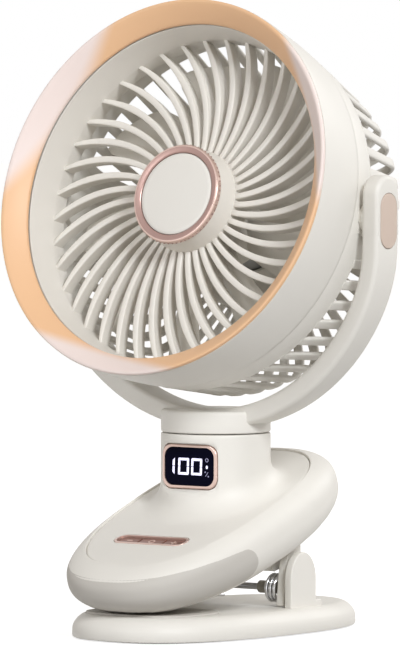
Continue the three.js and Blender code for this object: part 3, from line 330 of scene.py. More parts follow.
def swept(path: np.ndarray, sections: np.ndarray, across: np.ndarray) -> Shape:
    """Carries a section along a path.

    Args:
        path: points of the path.
        sections: one section of (across, over) points for all of the path, or one for each point.
        across: at each path point, the direction of the section's first coordinate.

    Returns:
        A closed bar with flat ends.
    """
    ahead = np.gradient(path, axis=0)
    ahead /= np.linalg.norm(ahead, axis=1)[:, None]
    side = across - (across * ahead).sum(1)[:, None] * ahead
    side /= np.linalg.norm(side, axis=1)[:, None]
    over = np.cross(ahead, side)
    if sections.ndim == 2:
        sections = np.repeat(sections[None], len(path), 0)
    rings = path[:, None] + sections[..., :1] * side[:, None] + sections[..., 1:] * over[:, None]
    return lofted(rings)


class Cut(Enum):
    """Ways to combine two solids."""

    JOIN = "UNION"
    TAKE_AWAY = "DIFFERENCE"
    KEEP_COMMON = "INTERSECT"


def object_of(name: str, shape: Shape) -> bpy.types.Object:
    """A new mesh object with the shape's points in metres.

    Args:
        name: the object's name.
        shape: its mesh, in millimetres.

    Returns:
        The object, linked to the scene.
    """
    mesh = bpy.data.meshes.new(name)
    mesh.from_pydata((shape.points * MM).tolist(), [], shape.faces)
    mesh.validate()
    made = bpy.data.objects.new(name, mesh)
    bpy.context.scene.collection.objects.link(made)
    return made


def tidied(mesh: bpy.types.Mesh) -> None:
    """Merges points that coincide and turns all faces outwards.

    Args:
        mesh: the mesh, changed in place.
    """
    work = bmesh.new()
    work.from_mesh(mesh)
    bmesh.ops.remove_doubles(work, verts=work.verts, dist=2e-6)
    bmesh.ops.dissolve_degenerate(work, edges=work.edges, dist=1e-6)
    bmesh.ops.recalc_face_normals(work, faces=work.faces)
    work.to_mesh(mesh)
    work.free()


def combined(base: Shape, tools: Sequence[Shape], how: Cut) -> Shape:
    """Joins, cuts or intersects a solid with others, one after the other.

    Args:
        base: the solid to begin with.
        tools: the solids that it is combined with.
        how: the way to combine them.

    Returns:
        The result.

    Raises:
        RuntimeError: if nothing is left.
    """
    subject = object_of("blank", base)
    tidied(subject.data)
    helpers = []
    for tool in tools:
        helper = object_of("tool", tool)
        tidied(helper.data)
        helpers.append(helper)
        step = subject.modifiers.new("cut", "BOOLEAN")
        step.operation = how.value
        step.solver = "MANIFOLD"
        step.object = helper
    graph = bpy.context.evaluated_depsgraph_get()
    result = bpy.data.meshes.new_from_object(subject.evaluated_get(graph))
    flat = np.zeros(len(result.vertices) * 3)
    result.vertices.foreach_get("co", flat)
    faces = [tuple(polygon.vertices) for polygon in result.polygons]
    for spent in (subject, *helpers):
        bpy.data.objects.remove(spent)
    bpy.data.meshes.remove(result)
    if not faces:
        raise RuntimeError(f"a {how.value.lower()} left nothing")
    return Shape(flat.reshape(-1, 3) / MM, faces)


# ------------------------------------------------------------------ nodes and finishes
def linear(colour: str, alpha: float = 1.0) -> tuple[float, float, float, float]:
    """An sRGB hex colour as linear red, green, blue and alpha.

    Args:
        colour: the colour, such as #E9E6DF.
        alpha: its opacity.

    Returns:
        The four values that a node takes.
    """
    parts = [int(colour[i : i + 2], 16) / 255 for i in (1, 3, 5)]
    r, g, b = (c / 12.92 if c <= 0.04045 else ((c + 0.055) / 1.055) ** 2.4 for c in parts)
    return (r, g, b, alpha)


def add_node(tree: bpy.types.NodeTree, kind: str, inputs: dict[str | int, Any] | None = None,
             **settings: Any) -> bpy.types.Node:
    """Adds a node to a material.

    Args:
        tree: the material's node tree.
        kind: the node's type, such as ShaderNodeTexNoise.
        inputs: values for its inputs by name or number; an output socket is linked.
        settings: attributes of the node itself.

    Returns:
        The new node.
    """
    node = tree.nodes.new(kind)
    for name, value in settings.items():
        setattr(node, name, value)
    for name, value in (inputs or {}).items():
        if isinstance(value, bpy.types.NodeSocket):
            tree.links.new(value, node.inputs[name])
        else:
            node.inputs[name].default_value = value
    return node


def per_metre(size_mm: float) -> float:
    """The scale of a texture whose features are this many millimetres apart."""
    return 1 / (size_mm * MM)


@dataclass(frozen=True)
class Finish:
    """A surface as it is bought or moulded. Subclasses add what makes each one itself."""

    name: str
    colour: str
    roughness: float = 0.4
    metallic: float = 0.0
    ior: float = 1.5
    specular: float = 0.5
    # a mould's real grain, at about 0.05 mm, wouldn't show in the render, so it is drawn this coarse
    grain_mm: float = 0.45
    grain_depth_mm: float = 0.012
    mottle_mm: float = 22.0
    mottle: float = 0.05
    coat: float = 0.0
    coat_roughness: float = 0.1

    def material(self) -> bpy.types.Material:
        """The finish as a material, made once and shared.

        Returns:
            The material, the same one each time.
        """
        found = bpy.data.materials.get(self.name)
        if found:
            return found
        made = bpy.data.materials.new(self.name)
        made.use_nodes = True
        tree = made.node_tree
        shader = tree.nodes["Principled BSDF"]
        place = add_node(tree, "ShaderNodeTexCoord").outputs["Object"]
        self.dress(tree, shader, place)
        return made

    def dress(self, tree: bpy.types.NodeTree, shader: bpy.types.Node, place: bpy.types.NodeSocket) -> None:
        """Sets the shader up; subclasses extend this.

        Args:
            tree: the material's node tree.
            shader: its principled shader.
            place: the socket that gives places in metres.
        """
        shader.inputs["Metallic"].default_value = self.metallic
        shader.inputs["IOR"].default_value = self.ior
        shader.inputs["Specular IOR Level"].default_value = self.specular
        shader.inputs["Coat Weight"].default_value = self.coat
        shader.inputs["Coat Roughness"].default_value = self.coat_roughness
        self.colour_into(tree, shader, place)
        self.gloss_into(tree, shader, place)
        self.grain_into(tree, shader, place)

    def colour_into(self, tree: bpy.types.NodeTree, shader: bpy.types.Node,
                    place: bpy.types.NodeSocket) -> None:
        """A colour that drifts by a few per cent over some centimetres, as a moulding's does.

        Args:
            tree: the material's node tree.
            shader: its principled shader.
            place: the socket that gives places in metres.
        """
        drift = add_node(tree, "ShaderNodeTexNoise",
                         {"Vector": place, "Scale": per_metre(self.mottle_mm), "Detail": 3.0})
        darker = tuple(c * (1 - self.mottle) for c in linear(self.colour)[:3]) + (1.0,)
        mix = add_node(tree, "ShaderNodeMix", {0: drift.outputs["Fac"], 6: darker, 7: linear(self.colour)},
                       data_type="RGBA")
        tree.links.new(mix.outputs[2], shader.inputs["Base Color"])

    def gloss_into(self, tree: bpy.types.NodeTree, shader: bpy.types.Node,
                   place: bpy.types.NodeSocket) -> None:
        """A roughness that wanders a little, where hands have polished the surface.

        Args:
            tree: the material's node tree.
            shader: its principled shader.
            place: the socket that gives places in metres.
        """
        wander = add_node(tree, "ShaderNodeTexNoise",
                          {"Vector": place, "Scale": per_metre(self.mottle_mm * 0.6), "Detail": 2.0})
        spread = add_node(tree, "ShaderNodeMapRange",
                          {"Value": wander.outputs["Fac"], "To Min": self.roughness * 0.9,
                           "To Max": min(1.0, self.roughness * 1.1)})
        tree.links.new(spread.outputs["Result"], shader.inputs["Roughness"])

    def grain_into(self, tree: bpy.types.NodeTree, shader: bpy.types.Node,
                   place: bpy.types.NodeSocket) -> None:
        """The fine texture of the mould, as a bump.

        Args:
            tree: the material's node tree.
            shader: its principled shader.
            place: the socket that gives places in metres.
        """
        grain = add_node(tree, "ShaderNodeTexNoise",
                         {"Vector": place, "Scale": per_metre(self.grain_mm), "Detail": 2.0})
        bump = add_node(tree, "ShaderNodeBump",
                        {"Height": grain.outputs["Fac"], "Strength": 0.6,
                         "Distance": self.grain_depth_mm * MM})
        tree.links.new(bump.outputs["Normal"], shader.inputs["Normal"])


@dataclass(frozen=True)
class LacquerWithPaintedReflections(Finish):
    """Apricot lacquer with pale pink stretches round the ring that are painted reflections of bright light,
    painted in also to even out its shading.
    """

    # the pale pink of the painted reflections
    second: str = "#EEDED8"
    # middle and half width of each painted pink reflection, in degrees round the ring
    lobes: tuple[tuple[float, float], ...] = ((25.0, 17.0), (152.0, 22.0), (259.0, 16.0))
    blend_deg: float = 7.0
    middle_r_mm: float = 85.5

    def colour_into(self, tree: bpy.types.NodeTree, shader: bpy.types.Node,
                    place: bpy.types.NodeSocket) -> None:
        """Blends the apricot and the painted pink reflections by the angle round the head's axis.

        Args:
            tree: the material's node tree.
            shader: its principled shader.
            place: the socket that gives places in metres.
        """
        tilt = math.radians(90 - HEAD_TILT)
        local = add_node(tree, "ShaderNodeVectorRotate",
                         {"Vector": place, "Center": (0, 0, PIVOT_Z * MM), "Angle": -tilt},
                         rotation_type="X_AXIS")
        centred = add_node(tree, "ShaderNodeVectorMath",
                           {0: local.outputs["Vector"], 1: (0, 0, PIVOT_Z * MM)}, operation="SUBTRACT")
        flat = add_node(tree, "ShaderNodeVectorMath", {0: centred.outputs["Vector"], 1: (1, 1, 0)},
                        operation="MULTIPLY")
        total: bpy.types.NodeSocket | None = None
        for middle, half in self.lobes:
            heading = math.radians(middle)
            toward = (math.cos(heading), math.sin(heading), 0.0)
            along = add_node(tree, "ShaderNodeVectorMath", {0: flat.outputs["Vector"], 1: toward},
                             operation="DOT_PRODUCT")
            begins, ends = (self.middle_r_mm * MM * math.cos(math.radians(half + blend))
                            for blend in (self.blend_deg, -self.blend_deg))
            lit = add_node(tree, "ShaderNodeMapRange",
                           {"Value": along.outputs["Value"], "From Min": begins, "From Max": ends},
                           interpolation_type="SMOOTHSTEP")
            if total is None:
                total = lit.outputs["Result"]
            else:
                total = add_node(tree, "ShaderNodeMath", {0: total, 1: lit.outputs["Result"]},
                                 operation="MAXIMUM").outputs[0]
        # mixes in the painted pink reflections where the stretches lie
        mix = add_node(tree, "ShaderNodeMix", {0: total, 6: linear(self.colour), 7: linear(self.second)},
                       data_type="RGBA")
        tree.links.new(mix.outputs[2], shader.inputs["Base Color"])


@dataclass(frozen=True)
class BrushedMetal(Finish):
    """Metal with drawing or turning marks that run round one axis."""

    # real marks lie about 0.02 mm apart; these are as coarse as they need to be to show
    line_mm: float = 0.12
    stretch: tuple[float, float, float] = (1.0, 0.04, 0.04)

    def grain_into(self, tree: bpy.types.NodeTree, shader: bpy.types.Node,
                   place: bpy.types.NodeSocket) -> None:
        """Long fine lines: noise that is stretched along the marks.

        Args:
            tree: the material's node tree.
            shader: its principled shader.
            place: the socket that gives places in metres.
        """
        mapping = add_node(tree, "ShaderNodeMapping", {"Vector": place, "Scale": self.stretch})
        lines = add_node(tree, "ShaderNodeTexNoise",
                         {"Vector": mapping.outputs["Vector"], "Scale": per_metre(self.line_mm),
                          "Detail": 3.0})
        bump = add_node(tree, "ShaderNodeBump",
                        {"Height": lines.outputs["Fac"], "Strength": 0.35, "Distance": 0.004 * MM})
        tree.links.new(bump.outputs["Normal"], shader.inputs["Normal"])


@dataclass(frozen=True)
class LitSegment(Finish):
    """A display segment that glows by itself."""

    glow: float = 0.85

    def dress(self, tree: bpy.types.NodeTree, shader: bpy.types.Node, place: bpy.types.NodeSocket) -> None:
        """Adds the glow to the plain finish, a little uneven along the segment.

        Args:
            tree: the material's node tree.
            shader: its principled shader.
            place: the socket that gives places in metres.
        """
        super().dress(tree, shader, place)
        uneven = add_node(tree, "ShaderNodeTexNoise", {"Vector": place, "Scale": per_metre(2.0)})
        level = add_node(tree, "ShaderNodeMapRange",
                         {"Value": uneven.outputs["Fac"], "To Min": self.glow * 0.9,
                          "To Max": self.glow * 1.1})
        shader.inputs["Emission Color"].default_value = linear(self.colour)
        tree.links.new(level.outputs["Result"], shader.inputs["Emission Strength"])


# ABS moulded against a finely spark-eroded tool: satin, hardly any sparkle, slightly warm white
MOULDED_ABS = Finish("moulded_abs", "#E9E6DF", roughness=0.5)
# the same resin on the thin inner vanes, polished in the tool, so that it shines a little more
POLISHED_ABS = Finish("polished_abs", "#E6E2DA", roughness=0.42, grain_depth_mm=0.006)
# thermoplastic elastomer moulded over the nose: greyer than the shell and quite matt
OVERMOULD_TPE = Finish("overmould_tpe", "#C9C5BE", roughness=0.66, grain_mm=0.35, ior=1.47)
# silicone rubber of the pads: matt, slightly dusty
SILICONE = Finish("silicone_rubber", "#CFCBC4", roughness=0.78, grain_mm=0.6, ior=1.43)
# ABS sprayed with a satin apricot lacquer under a thin clear coat: no grain, a soft wide sheen, with pale
# pink stretches painted in as reflections
RING_LACQUER = LacquerWithPaintedReflections("ring_lacquer", "#EABD92", roughness=0.5, grain_depth_mm=0.004, coat=0.3,
                              coat_roughness=0.5)
# rose gold lacquer with a metal flake, drawn at 0.3 mm so that it shows: brownish in shade, pink
# where it catches light
ROSE_LACQUER = Finish("rose_lacquer", "#A98A82", roughness=0.34, metallic=0.55, grain_mm=0.3,
                      grain_depth_mm=0.004)
# the keys' darker coat of the same lacquer, worn smoother by fingers
KEY_LACQUER = Finish("key_lacquer", "#8E665B", roughness=0.28, metallic=0.6, grain_mm=0.3,
                     grain_depth_mm=0.003)
# rose gold hot foil on the rims: thin, bright and almost mirror smooth
ROSE_FOIL = Finish("rose_foil", "#D8BDB2", roughness=0.28, metallic=0.6, grain_mm=0.3, grain_depth_mm=0.002)
# the paler lacquer of the pivot caps: satin, nearly without flake
PALE_ROSE = Finish("pale_rose_lacquer", "#D2BFB1", roughness=0.5, grain_mm=0.3)
# nickel-plated spring wire: bright, with drawing marks along it
NICKEL_WIRE = BrushedMetal("nickel_plated_wire", "#D6D6D8", roughness=0.16, metallic=1.0)
# ground steel of pins and shafts: cool grey, its shine drawn out by fine turning marks
GROUND_STEEL = BrushedMetal("ground_steel", "#B4B4B8", roughness=0.28, metallic=1.0)
# zinc-plated deep-drawn motor can: pale blue-grey, a soft metal shine
ZINC_PLATE = BrushedMetal("zinc_plated_steel", "#B9BCC0", roughness=0.33, metallic=1.0)
# nylon of the bushes, washers and the impeller: off-white, a little waxy, with a coarse grain
NYLON = Finish("moulded_nylon", "#E7E3DA", roughness=0.5, ior=1.53, grain_mm=0.8)
# acetal of the spring bushes, tinted grey: dull, so that the bright wire stands out on it
TINTED_ACETAL = Finish("tinted_acetal", "#8A867C", roughness=0.45, ior=1.48)
# smoked acrylic with an anti-glare coat over the display: almost black, smooth, hardly any reflection
SMOKED_ACRYLIC = Finish("smoked_acrylic", "#06061A", roughness=0.12, ior=1.49, specular=0.03,
                        grain_depth_mm=0.0005, grain_mm=3.0)
# light-emitting segments: pale violet-white, a little uneven in their glow
LIT_SEGMENT = LitSegment("lit_segment", "#E6E4FF", roughness=0.3)
# segments of the small signs, which glow less and look grey beside the figures
DIM_SEGMENT = LitSegment("dim_segment", "#8C8BA8", roughness=0.3, glow=0.5)
# solder mask over glass fibre: dark green, smooth
SOLDER_MASK = Finish("solder_mask", "#2F5B45", roughness=0.35, grain_mm=0.5)
# shrink sleeve over the cells: blue film, tight and shiny
SHRINK_SLEEVE = Finish("shrink_sleeve", "#5A7F9C", roughness=0.3, ior=1.54, grain_mm=1.2)


# ------------------------------------------------------------------ pieces
def make_piece(name: str, shape: Shape, finish: Finish, body: str,
               nodes: Sequence[str] = (), sharp: float = 32.0, place: np.ndarray = WORLD) -> bpy.types.Object:
    """Turns a shape into a piece of the fan.

    Args:
        name: the piece's name.
        shape: its mesh, in millimetres.
        finish: its surface.
        body: the moving body that it rides on.
        nodes: the CAD nodes that it stands for.
        sharp: edges steeper than this many degrees stay sharp.
        place: the frame that the shape was drawn in.

    Returns:
        The new object.
    """
    made = object_of(name, shape.moved(place))
    tidied(made.data)
    made.data.shade_smooth()
    made.data.set_sharp_from_angle(angle=math.radians(sharp))
    made.data.materials.append(finish.material())
    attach(made, body)
    if nodes:
        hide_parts(*nodes)
    log.info("piece %s: %d faces on %s", name, len(made.data.polygons), body)
    return made


def dress_node(node: str, finish: Finish) -> None:
    """Gives a CAD node that stays its finish.

    Args:
        node: the node's name.
        finish: the surface that it gets.
    """
    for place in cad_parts[node].material_slots:
        place.material = finish.material()
    log.info("node %s: %s", node, finish.name)


@dataclass
class LowerJaw:
    """The flat plate that the fan stands on, with the outer hinge ears."""

    half_width: float = 46.5
    half_length: float = 85.0
    power: float = 2.5
    bottom: float = 0.7
    top: float = 12.0
    shoulder: float = 5.8
    shoulder_edge: float = 0.3
    slope: tuple[float, float] = (7.4, 5.6)  # run inwards, rise
    pad_inset: float = 6.0
    jaw_pad: tuple[float, float, float] = (-50.0, 30.0, 24.0)  # Y of its middle, half width, half length
    ear_inside: float = 34.0
    ear_thickness: float = 4.0
    ear_half_width: float = 10.2
    ear_offset: float = 2.1
    ear_arch: tuple[float, float] = (25.0, 13.0)  # height of its centre, rise above it
    heel: tuple[float, float] = (4.6, 3.1)  # length, height

    def outline(self, inset: float, count: int = 160) -> np.ndarray:
        """The plate's outline, drawn in."""
        return ellipse(self.half_width - inset, self.half_length - inset, self.power, count)

    def plate(self) -> Shape:
        """The plate: a low upright edge, a broad sloping shoulder, and a small radius below.

        Returns:
            The closed plate, before its pockets are cut.
        """
        edge = self.shoulder_edge
        rings = [(0.9, self.bottom), (0.35, self.bottom + 0.25), (0.0, self.bottom + 0.9),
                 (0.1, self.shoulder - 0.4), (0.25, self.shoulder)]
        run, rise = self.slope
        for degrees in range(32, 91, 5):
            turn = math.radians(degrees)
            inset = edge + run * (1 - math.cos(turn) / math.cos(math.radians(30)))
            rings.append((inset, self.top - rise * (1 - math.sin(turn)) * 2))
        rings.append((edge + run, self.top))
        points = []
        for inset, height in rings:
            flat = self.outline(inset)
            points.append(np.column_stack([flat, np.full(len(flat), height)]))
        return lofted(points)

    def ear(self, side: Side) -> Shape:
        """An outer ear: straight sides under a round arch, with a low heel behind.

        Args:
            side: the side that it is on.

        Returns:
            The ear, standing in the plate.
        """
        front, rear = self.ear_offset - self.ear_half_width, self.ear_offset + self.ear_half_width
        sole = self.top - 3
        length, height = self.heel
        arch_z, arch_height = self.ear_arch
        outline: list[Sequence[float]] = [(front, sole), (rear + length, sole),
                                          (rear + length, self.top + height), (rear, self.top + height)]
        outline = filleted(outline, [0, 0, 0.8, 0.8], 4)
        for step in range(33):
            turn = math.pi * step / 32
            outline.append((self.ear_offset + self.ear_half_width * math.cos(turn),
                            arch_z + arch_height * math.sin(turn)))
        blank = slab(np.array(outline), 0, self.ear_thickness, 0.7)
        blank = blank.moved(ALONG_X).shifted(y=HINGE_Y)
        inside = self.ear_inside if side is Side.RIGHT else -self.ear_inside - self.ear_thickness
        return blank.shifted(x=inside)

    def build(self) -> None:
        """Makes the plate, its pads and the foot."""
        reach = self.ear_inside + self.ear_thickness - 1.5
        bore = rod(HINGE_BORE_R, -reach, reach, count=24).moved(ALONG_X).shifted(0, HINGE_Y, HINGE_Z)
        y, half_x, half_y = self.jaw_pad
        recess = slab(ellipse(half_x + 0.3, half_y + 0.3, 3, 96) + [0, y], self.top - 1.2, self.top + 3)
        foot = slab(self.outline(self.pad_inset - 0.3), -2, 1.9)
        plate = combined(self.plate(), [self.ear(side) for side in Side], Cut.JOIN)
        plate = combined(plate, [recess, foot, bore], Cut.TAKE_AWAY)
        make_piece("lower_jaw_moulding", plate, MOULDED_ABS, "lower_jaw",
                   ["lower_jaw_plate"])
        pad = slab(ellipse(half_x, half_y, 3, 96) + [0, y], self.top - 0.75, self.top + 0.75, 0.5, 0.1)
        make_piece("lower_grip_pad", pad, SILICONE, "lower_jaw", ["lower_jaw_pad"])
        sole = slab(self.outline(self.pad_inset), 0, 1.6, 0.1, 0.5)
        make_piece("foot_sole", sole, SILICONE, "lower_jaw", ["foot_pad"])


@dataclass
class ClampHinge:
    """The pin, the bushes on it and the two wound springs."""

    pin_r: float = 1.6
    pin_end: float = 36.2
    bush: tuple[float, float, float] = (3.0, 14.2, 27.7)  # radius, inner end, outer end
    coil_r: float = 6.1
    wire_r: float = 0.85
    pitch: float = 2.2
    turns: int = 2
    outer_x: float = 26.8
    leg_angle: float = 38.0
    legs: tuple[float, float] = (20.0, 10.5)  # lower, upper
    steps_per_turn: int = 40

    def spring_path(self, side: Side) -> np.ndarray:
        """The wire's centre line: a leg on the plate, the turns, a leg under the body.

        Args:
            side: the side that it is on.

        Returns:
            The line's points, from the foot of the lower leg.
        """
        start, end = 270.0, 90 + self.leg_angle
        sweep = start - end + 360 * self.turns
        count = round(sweep / 360 * self.steps_per_turn)
        turn = np.linspace(0, sweep, count + 1)
        angle = np.radians(start - turn)
        x = self.outer_x - sweep / 360 * self.pitch + turn / 360 * self.pitch
        coil = np.stack([side.value * x, HINGE_Y + self.coil_r * np.cos(angle),
                         HINGE_Z + self.coil_r * np.sin(angle)], 1)
        lean = math.radians(self.leg_angle)
        low = coil[0] + np.linspace(1, 0.1, 6)[:, None] * np.array([0, 1, -0.04]) * self.legs[0]
        upward = np.array([0, math.cos(lean), math.sin(lean)])
        high = coil[-1] + np.linspace(0.1, 1, 5)[:, None] * upward * self.legs[1]
        return np.vstack([low, coil, high])

    def build(self) -> None:
        """Makes the springs, the pin and the bushes."""
        section = ellipse(self.wire_r, self.wire_r, count=14)
        for side in Side:
            path = self.spring_path(side)
            across = np.repeat([[1.0, 0, 0]], len(path), 0)
            wire = swept(path, section, across)
            make_piece(f"spring_wire_{side.label}", wire, NICKEL_WIRE, "lower_jaw",
                       [f"torsion_spring_{side.label}"], sharp=60)
            radius, low, high = self.bush
            outline = filleted([(radius, low), (radius, high), (self.pin_r + 0.3, high),
                                (self.pin_r + 0.3, low)], 0.25, 3)
            sleeve = revolved(outline, 48).moved(ALONG_X).moved(side.outward)
            make_piece(f"spring_sleeve_{side.label}", sleeve.shifted(0, HINGE_Y, HINGE_Z), TINTED_ACETAL,
                       "lower_jaw", [f"spring_bush_{side.label}"])
        pin = rod(self.pin_r, -self.pin_end, self.pin_end, 0.3, 32).moved(ALONG_X)
        make_piece("hinge_rod", pin.shifted(0, HINGE_Y, HINGE_Z), GROUND_STEEL, "lower_jaw",
                   ["hinge_pin"])


@dataclass
class BatteryBody:
    """The flattened pebble that holds the cells and is the clamp's upper jaw. U runs along it."""

    half_width: float = 47.6
    half_length: float = 82.2
    power: float = 2.42
    below: tuple[float, float] = (22.1, 2.18)  # depth, roundness
    above: tuple[float, float] = (17.8, 2.95)  # height, roundness
    wedge: float = 0.18
    step: float = 0.84
    cover_sink: float = 0.5
    cover_thickness: float = 2.4
    band_end: tuple[float, float, float] = (-31.2, -3.5, 8.6)  # U, level, half width
    band_nose: tuple[float, float] = (-3.1, 11.3)  # level, half width
    band_proud: float = 0.12
    band_roll: float = 0.9
    band_sunk: float = 0.6
    ear_inside: float = 28.0
    ear_thickness: float = 4.4
    hub_r: float = 8.1
    toe: float = 6.5
    root_rear: float = 24.0
    gusset: tuple[float, float, float] = (17.5, 25.4, 8.9)  # from X, to X, radius of the hollow
    gusset_arc: tuple[float, float] = (72.0, 118.0)  # degrees
    neck_r: float = 25.9
    flare: tuple[float, float] = (10.0, 12.0)  # reach, height
    front_flat: tuple[float, float, float] = (20.3, 66.0, 90.6)  # distance in front, from height, to height
    front_blend: float = 3.6
    # width, length, corner, and U of its middle
    grip_pad: tuple[float, float, float, float] = (55.6, 47.6, 10.0, -48.0)
    port: tuple[float, float, float, float] = (9.6, 3.9, 1.94, 2.5)  # width, height, corner, level
    swivel_bores: tuple[float, float] = (18.1, 14.1)  # bush, spindle
    count: int = 176

    @property
    def cover_level(self) -> float:
        """Level of the shoulder where the cover's groove begins."""
        height, round_ = self.above
        return height * (1 - self.step**round_) ** (1 / round_)

    @property
    def top_level(self) -> float:
        """Level of the cover's upper face."""
        return self.cover_level - self.cover_sink

    def ring(self, scale: float, level: float, inset: float = 0) -> np.ndarray:
        """One outline of the pebble, raised towards the tail where it is above the rim.

        Args:
            scale: size of the outline against the rim.
            level: height in the body's frame.
            inset: how far it is drawn in.

        Returns:
            The outline's points.
        """
        flat = ellipse(self.half_width * scale - inset, self.half_length * scale - inset, self.power,
                       self.count)
        w = np.full(self.count, level)
        if level > 0:
            w = level * (1 + self.wedge * flat[:, 1] / self.half_length)
        return np.column_stack([flat, w])

    def level_below(self, x: np.ndarray, u: np.ndarray) -> np.ndarray:
        """Level of the underside at a point of the plan.

        Args:
            x: places across, in the body's frame.
            u: places along it.

        Returns:
            The levels, one for each point.
        """
        depth, round_ = self.below
        share = np.abs(x / self.half_width) ** self.power + np.abs(u / self.half_length) ** self.power
        share = np.clip(share ** (1 / self.power), 0, 1)
        return -depth * (1 - share**round_) ** (1 / round_)

    def shell(self) -> Shape:
        """The lower housing up to the groove round the cover.

        Returns:
            The closed housing, still solid.
        """
        depth, round_ = self.below
        rings = []
        for degrees in (89, 84, 76, 68, 60, 52, 44, 36, 29, 22, 16, 10, 5, 2):
            turn = math.radians(degrees)
            scale = math.cos(turn) ** (2 / round_)
            rings.append(self.ring(scale, -depth * math.sin(turn) ** (2 / round_)))
        height, round_ = self.above
        last = math.degrees(math.acos(self.step ** (round_ / 2)))
        for share in np.linspace(0, 1, 14):
            turn = math.radians(last * share)
            scale = math.cos(turn) ** (2 / round_)
            rings.append(self.ring(scale, max(1e-4, height * math.sin(turn) ** (2 / round_))))
        level = self.cover_level
        for inset, drop in ((0.2, 0.04), (0.4, 0.18), (0.5, 0.5), (0.55, 3.5)):
            rings.append(self.ring(self.step, level - drop, inset))
        return lofted(rings)

    def inner_ear(self, side: Side) -> Shape:
        """The eye round the pin with its web up into the body.

        Args:
            side: the side that it is on.

        Returns:
            The ear, reaching into the shell.
        """
        sole = 12.6 - HINGE_Z
        outline: list[Sequence[float]] = [(self.root_rear - HINGE_Y, 20.0), (4 - self.toe, 20.0),
                                          (2 - self.toe, self.hub_r + 1), (-self.toe, sole), (0, sole)]
        outline = filleted(outline, [0, 0, 3.0, 0.8, 0], 4)
        for step in range(21):
            turn = -math.pi / 2 + math.pi / 2 * step / 20
            outline.append((self.hub_r * math.cos(turn), self.hub_r * math.sin(turn)))
        blank = slab(np.array(outline), 0, self.ear_thickness, 0.5).moved(ALONG_X)
        inside = self.ear_inside if side is Side.RIGHT else -self.ear_inside - self.ear_thickness
        return blank.shifted(inside, HINGE_Y, HINGE_Z)

    def gusset_block(self, side: Side) -> Shape:
        """The block above a spring that ties its ear to the belly, hollowed round the coil.

        Args:
            side: the side that it is on.

        Returns:
            The block, in the fan's frame.
        """
        low_x, high_x, radius = self.gusset
        arc = [(radius * math.cos(t), radius * math.sin(t))
               for t in np.radians(np.linspace(*self.gusset_arc, 11))]
        outline = [(radius * 0.3, 17.0), *arc, (-5.4, 9.4), (-6.4, 14.0)]
        blank = slab(np.array(outline), low_x, high_x, 0.3).moved(ALONG_X).moved(side.outward)
        return blank.shifted(0, HINGE_Y, HINGE_Z)

    def nose_band(self) -> Shape:
        """The soft band round the nose, a skin that lies just over the shell, with rolled edges.

        Returns:
            The closed band, in the body's frame.
        """
        end_u, end_w, end_half = self.band_end
        nose_w, nose_half = self.band_nose
        tip_u = end_u + end_half
        path = ellipse(self.half_width, self.half_length, self.power, 1440)
        path = path[path[:, 1] < tip_u - 0.02]
        path = path[np.argsort(np.arctan2(path[:, 0], -path[:, 1]))]
        rows = np.linspace(-1, 1, 23)
        rings = []
        for x, u in path[::2]:
            share = min(1.0, (tip_u - u) / end_half)
            run = max(0.0, end_u - u) / (end_u + self.half_length)
            half = (end_half + (nose_half - end_half) * run) * math.sqrt(1 - (1 - share) ** 2)
            middle = end_w + (nose_w - end_w) * run
            outer = []
            for row in rows:
                near = min(1.0, half * (1 - abs(row)) / self.band_roll)
                lift = self.band_proud * math.sin(near * math.pi / 2) - 0.05
                outer.append(self.skin_point(x, u, middle + row * half, lift))
            inner = [self.skin_point(x, u, middle + row * half, -self.band_sunk) for row in rows[::-1]]
            rings.append(outer + inner)
        return lofted(rings)

    def skin_point(self, x: float, u: float, w: float, lift: float) -> list[float]:
        """The point of the pebble's skin at a level, in the direction of a rim point.

        Args:
            x: place across of the rim point.
            u: place along of the rim point.
            w: the level.
            lift: distance out from the skin.

        Returns:
            Its three coordinates.
        """
        height, round_ = self.above if w > 0 else self.below
        if w > 0:
            height *= 1 + self.wedge * u / self.half_length
        share = min(1.0, abs(w) / height)
        scale = (1 - share**round_) ** (1 / round_)
        rim = math.hypot(x, u)
        length = rim * scale + lift
        return [x / rim * length, u / rim * length, w]

    def flattened(self, y: np.ndarray, z: np.ndarray) -> np.ndarray:
        """Presses the neck flat in front over the display's height, easing out above and below.

        Args:
            y: the points' Y values.
            z: their heights.

        Returns:
            The new Y values.
        """
        flat_y, low, high = self.front_flat
        inside = np.clip(np.minimum(z - low, high - z) / self.front_blend, 0, 1)
        inside = inside * inside * (3 - 2 * inside)
        return y + inside * (np.maximum(y, -flat_y) - y)

    def cover(self) -> Shape:
        """The top cover: neck, flare and sloping plate in one skin, with a rolled rim.

        Returns:
            The closed cover, in the fan's frame.
        """
        turn = BODY[:3, :3]
        origin = BODY[:3, 3]

        def on_plane(inset: float, sink: float) -> np.ndarray:
            """The cover's outline on its sloping plane.

            Args:
                inset: how far it is drawn in.
                sink: how far it lies below the plane.

            Returns:
                The outline's points, in the fan's frame.
            """
            ring = self.ring(self.step, self.top_level, inset)
            ring[:, 2] -= sink
            return ring @ turn.T + origin

        rim = on_plane(1.9, 0)
        heading = np.arctan2(rim[:, 1], rim[:, 0])
        slope = np.polyfit(rim[:, 1], rim[:, 2], 1)

        def circle(radius: float, lift: Callable[[np.ndarray], np.ndarray]) -> np.ndarray:
            """A circle round the neck's axis with one point for each of the rim's.

            Args:
                radius: the circle's radius.
                lift: gives the heights for an array of Y values.

            Returns:
                The circle's points, in the fan's frame.
            """
            y = radius * np.sin(heading)
            z = lift(y)
            return np.stack([radius * np.cos(heading), self.flattened(y, z), z], 1)

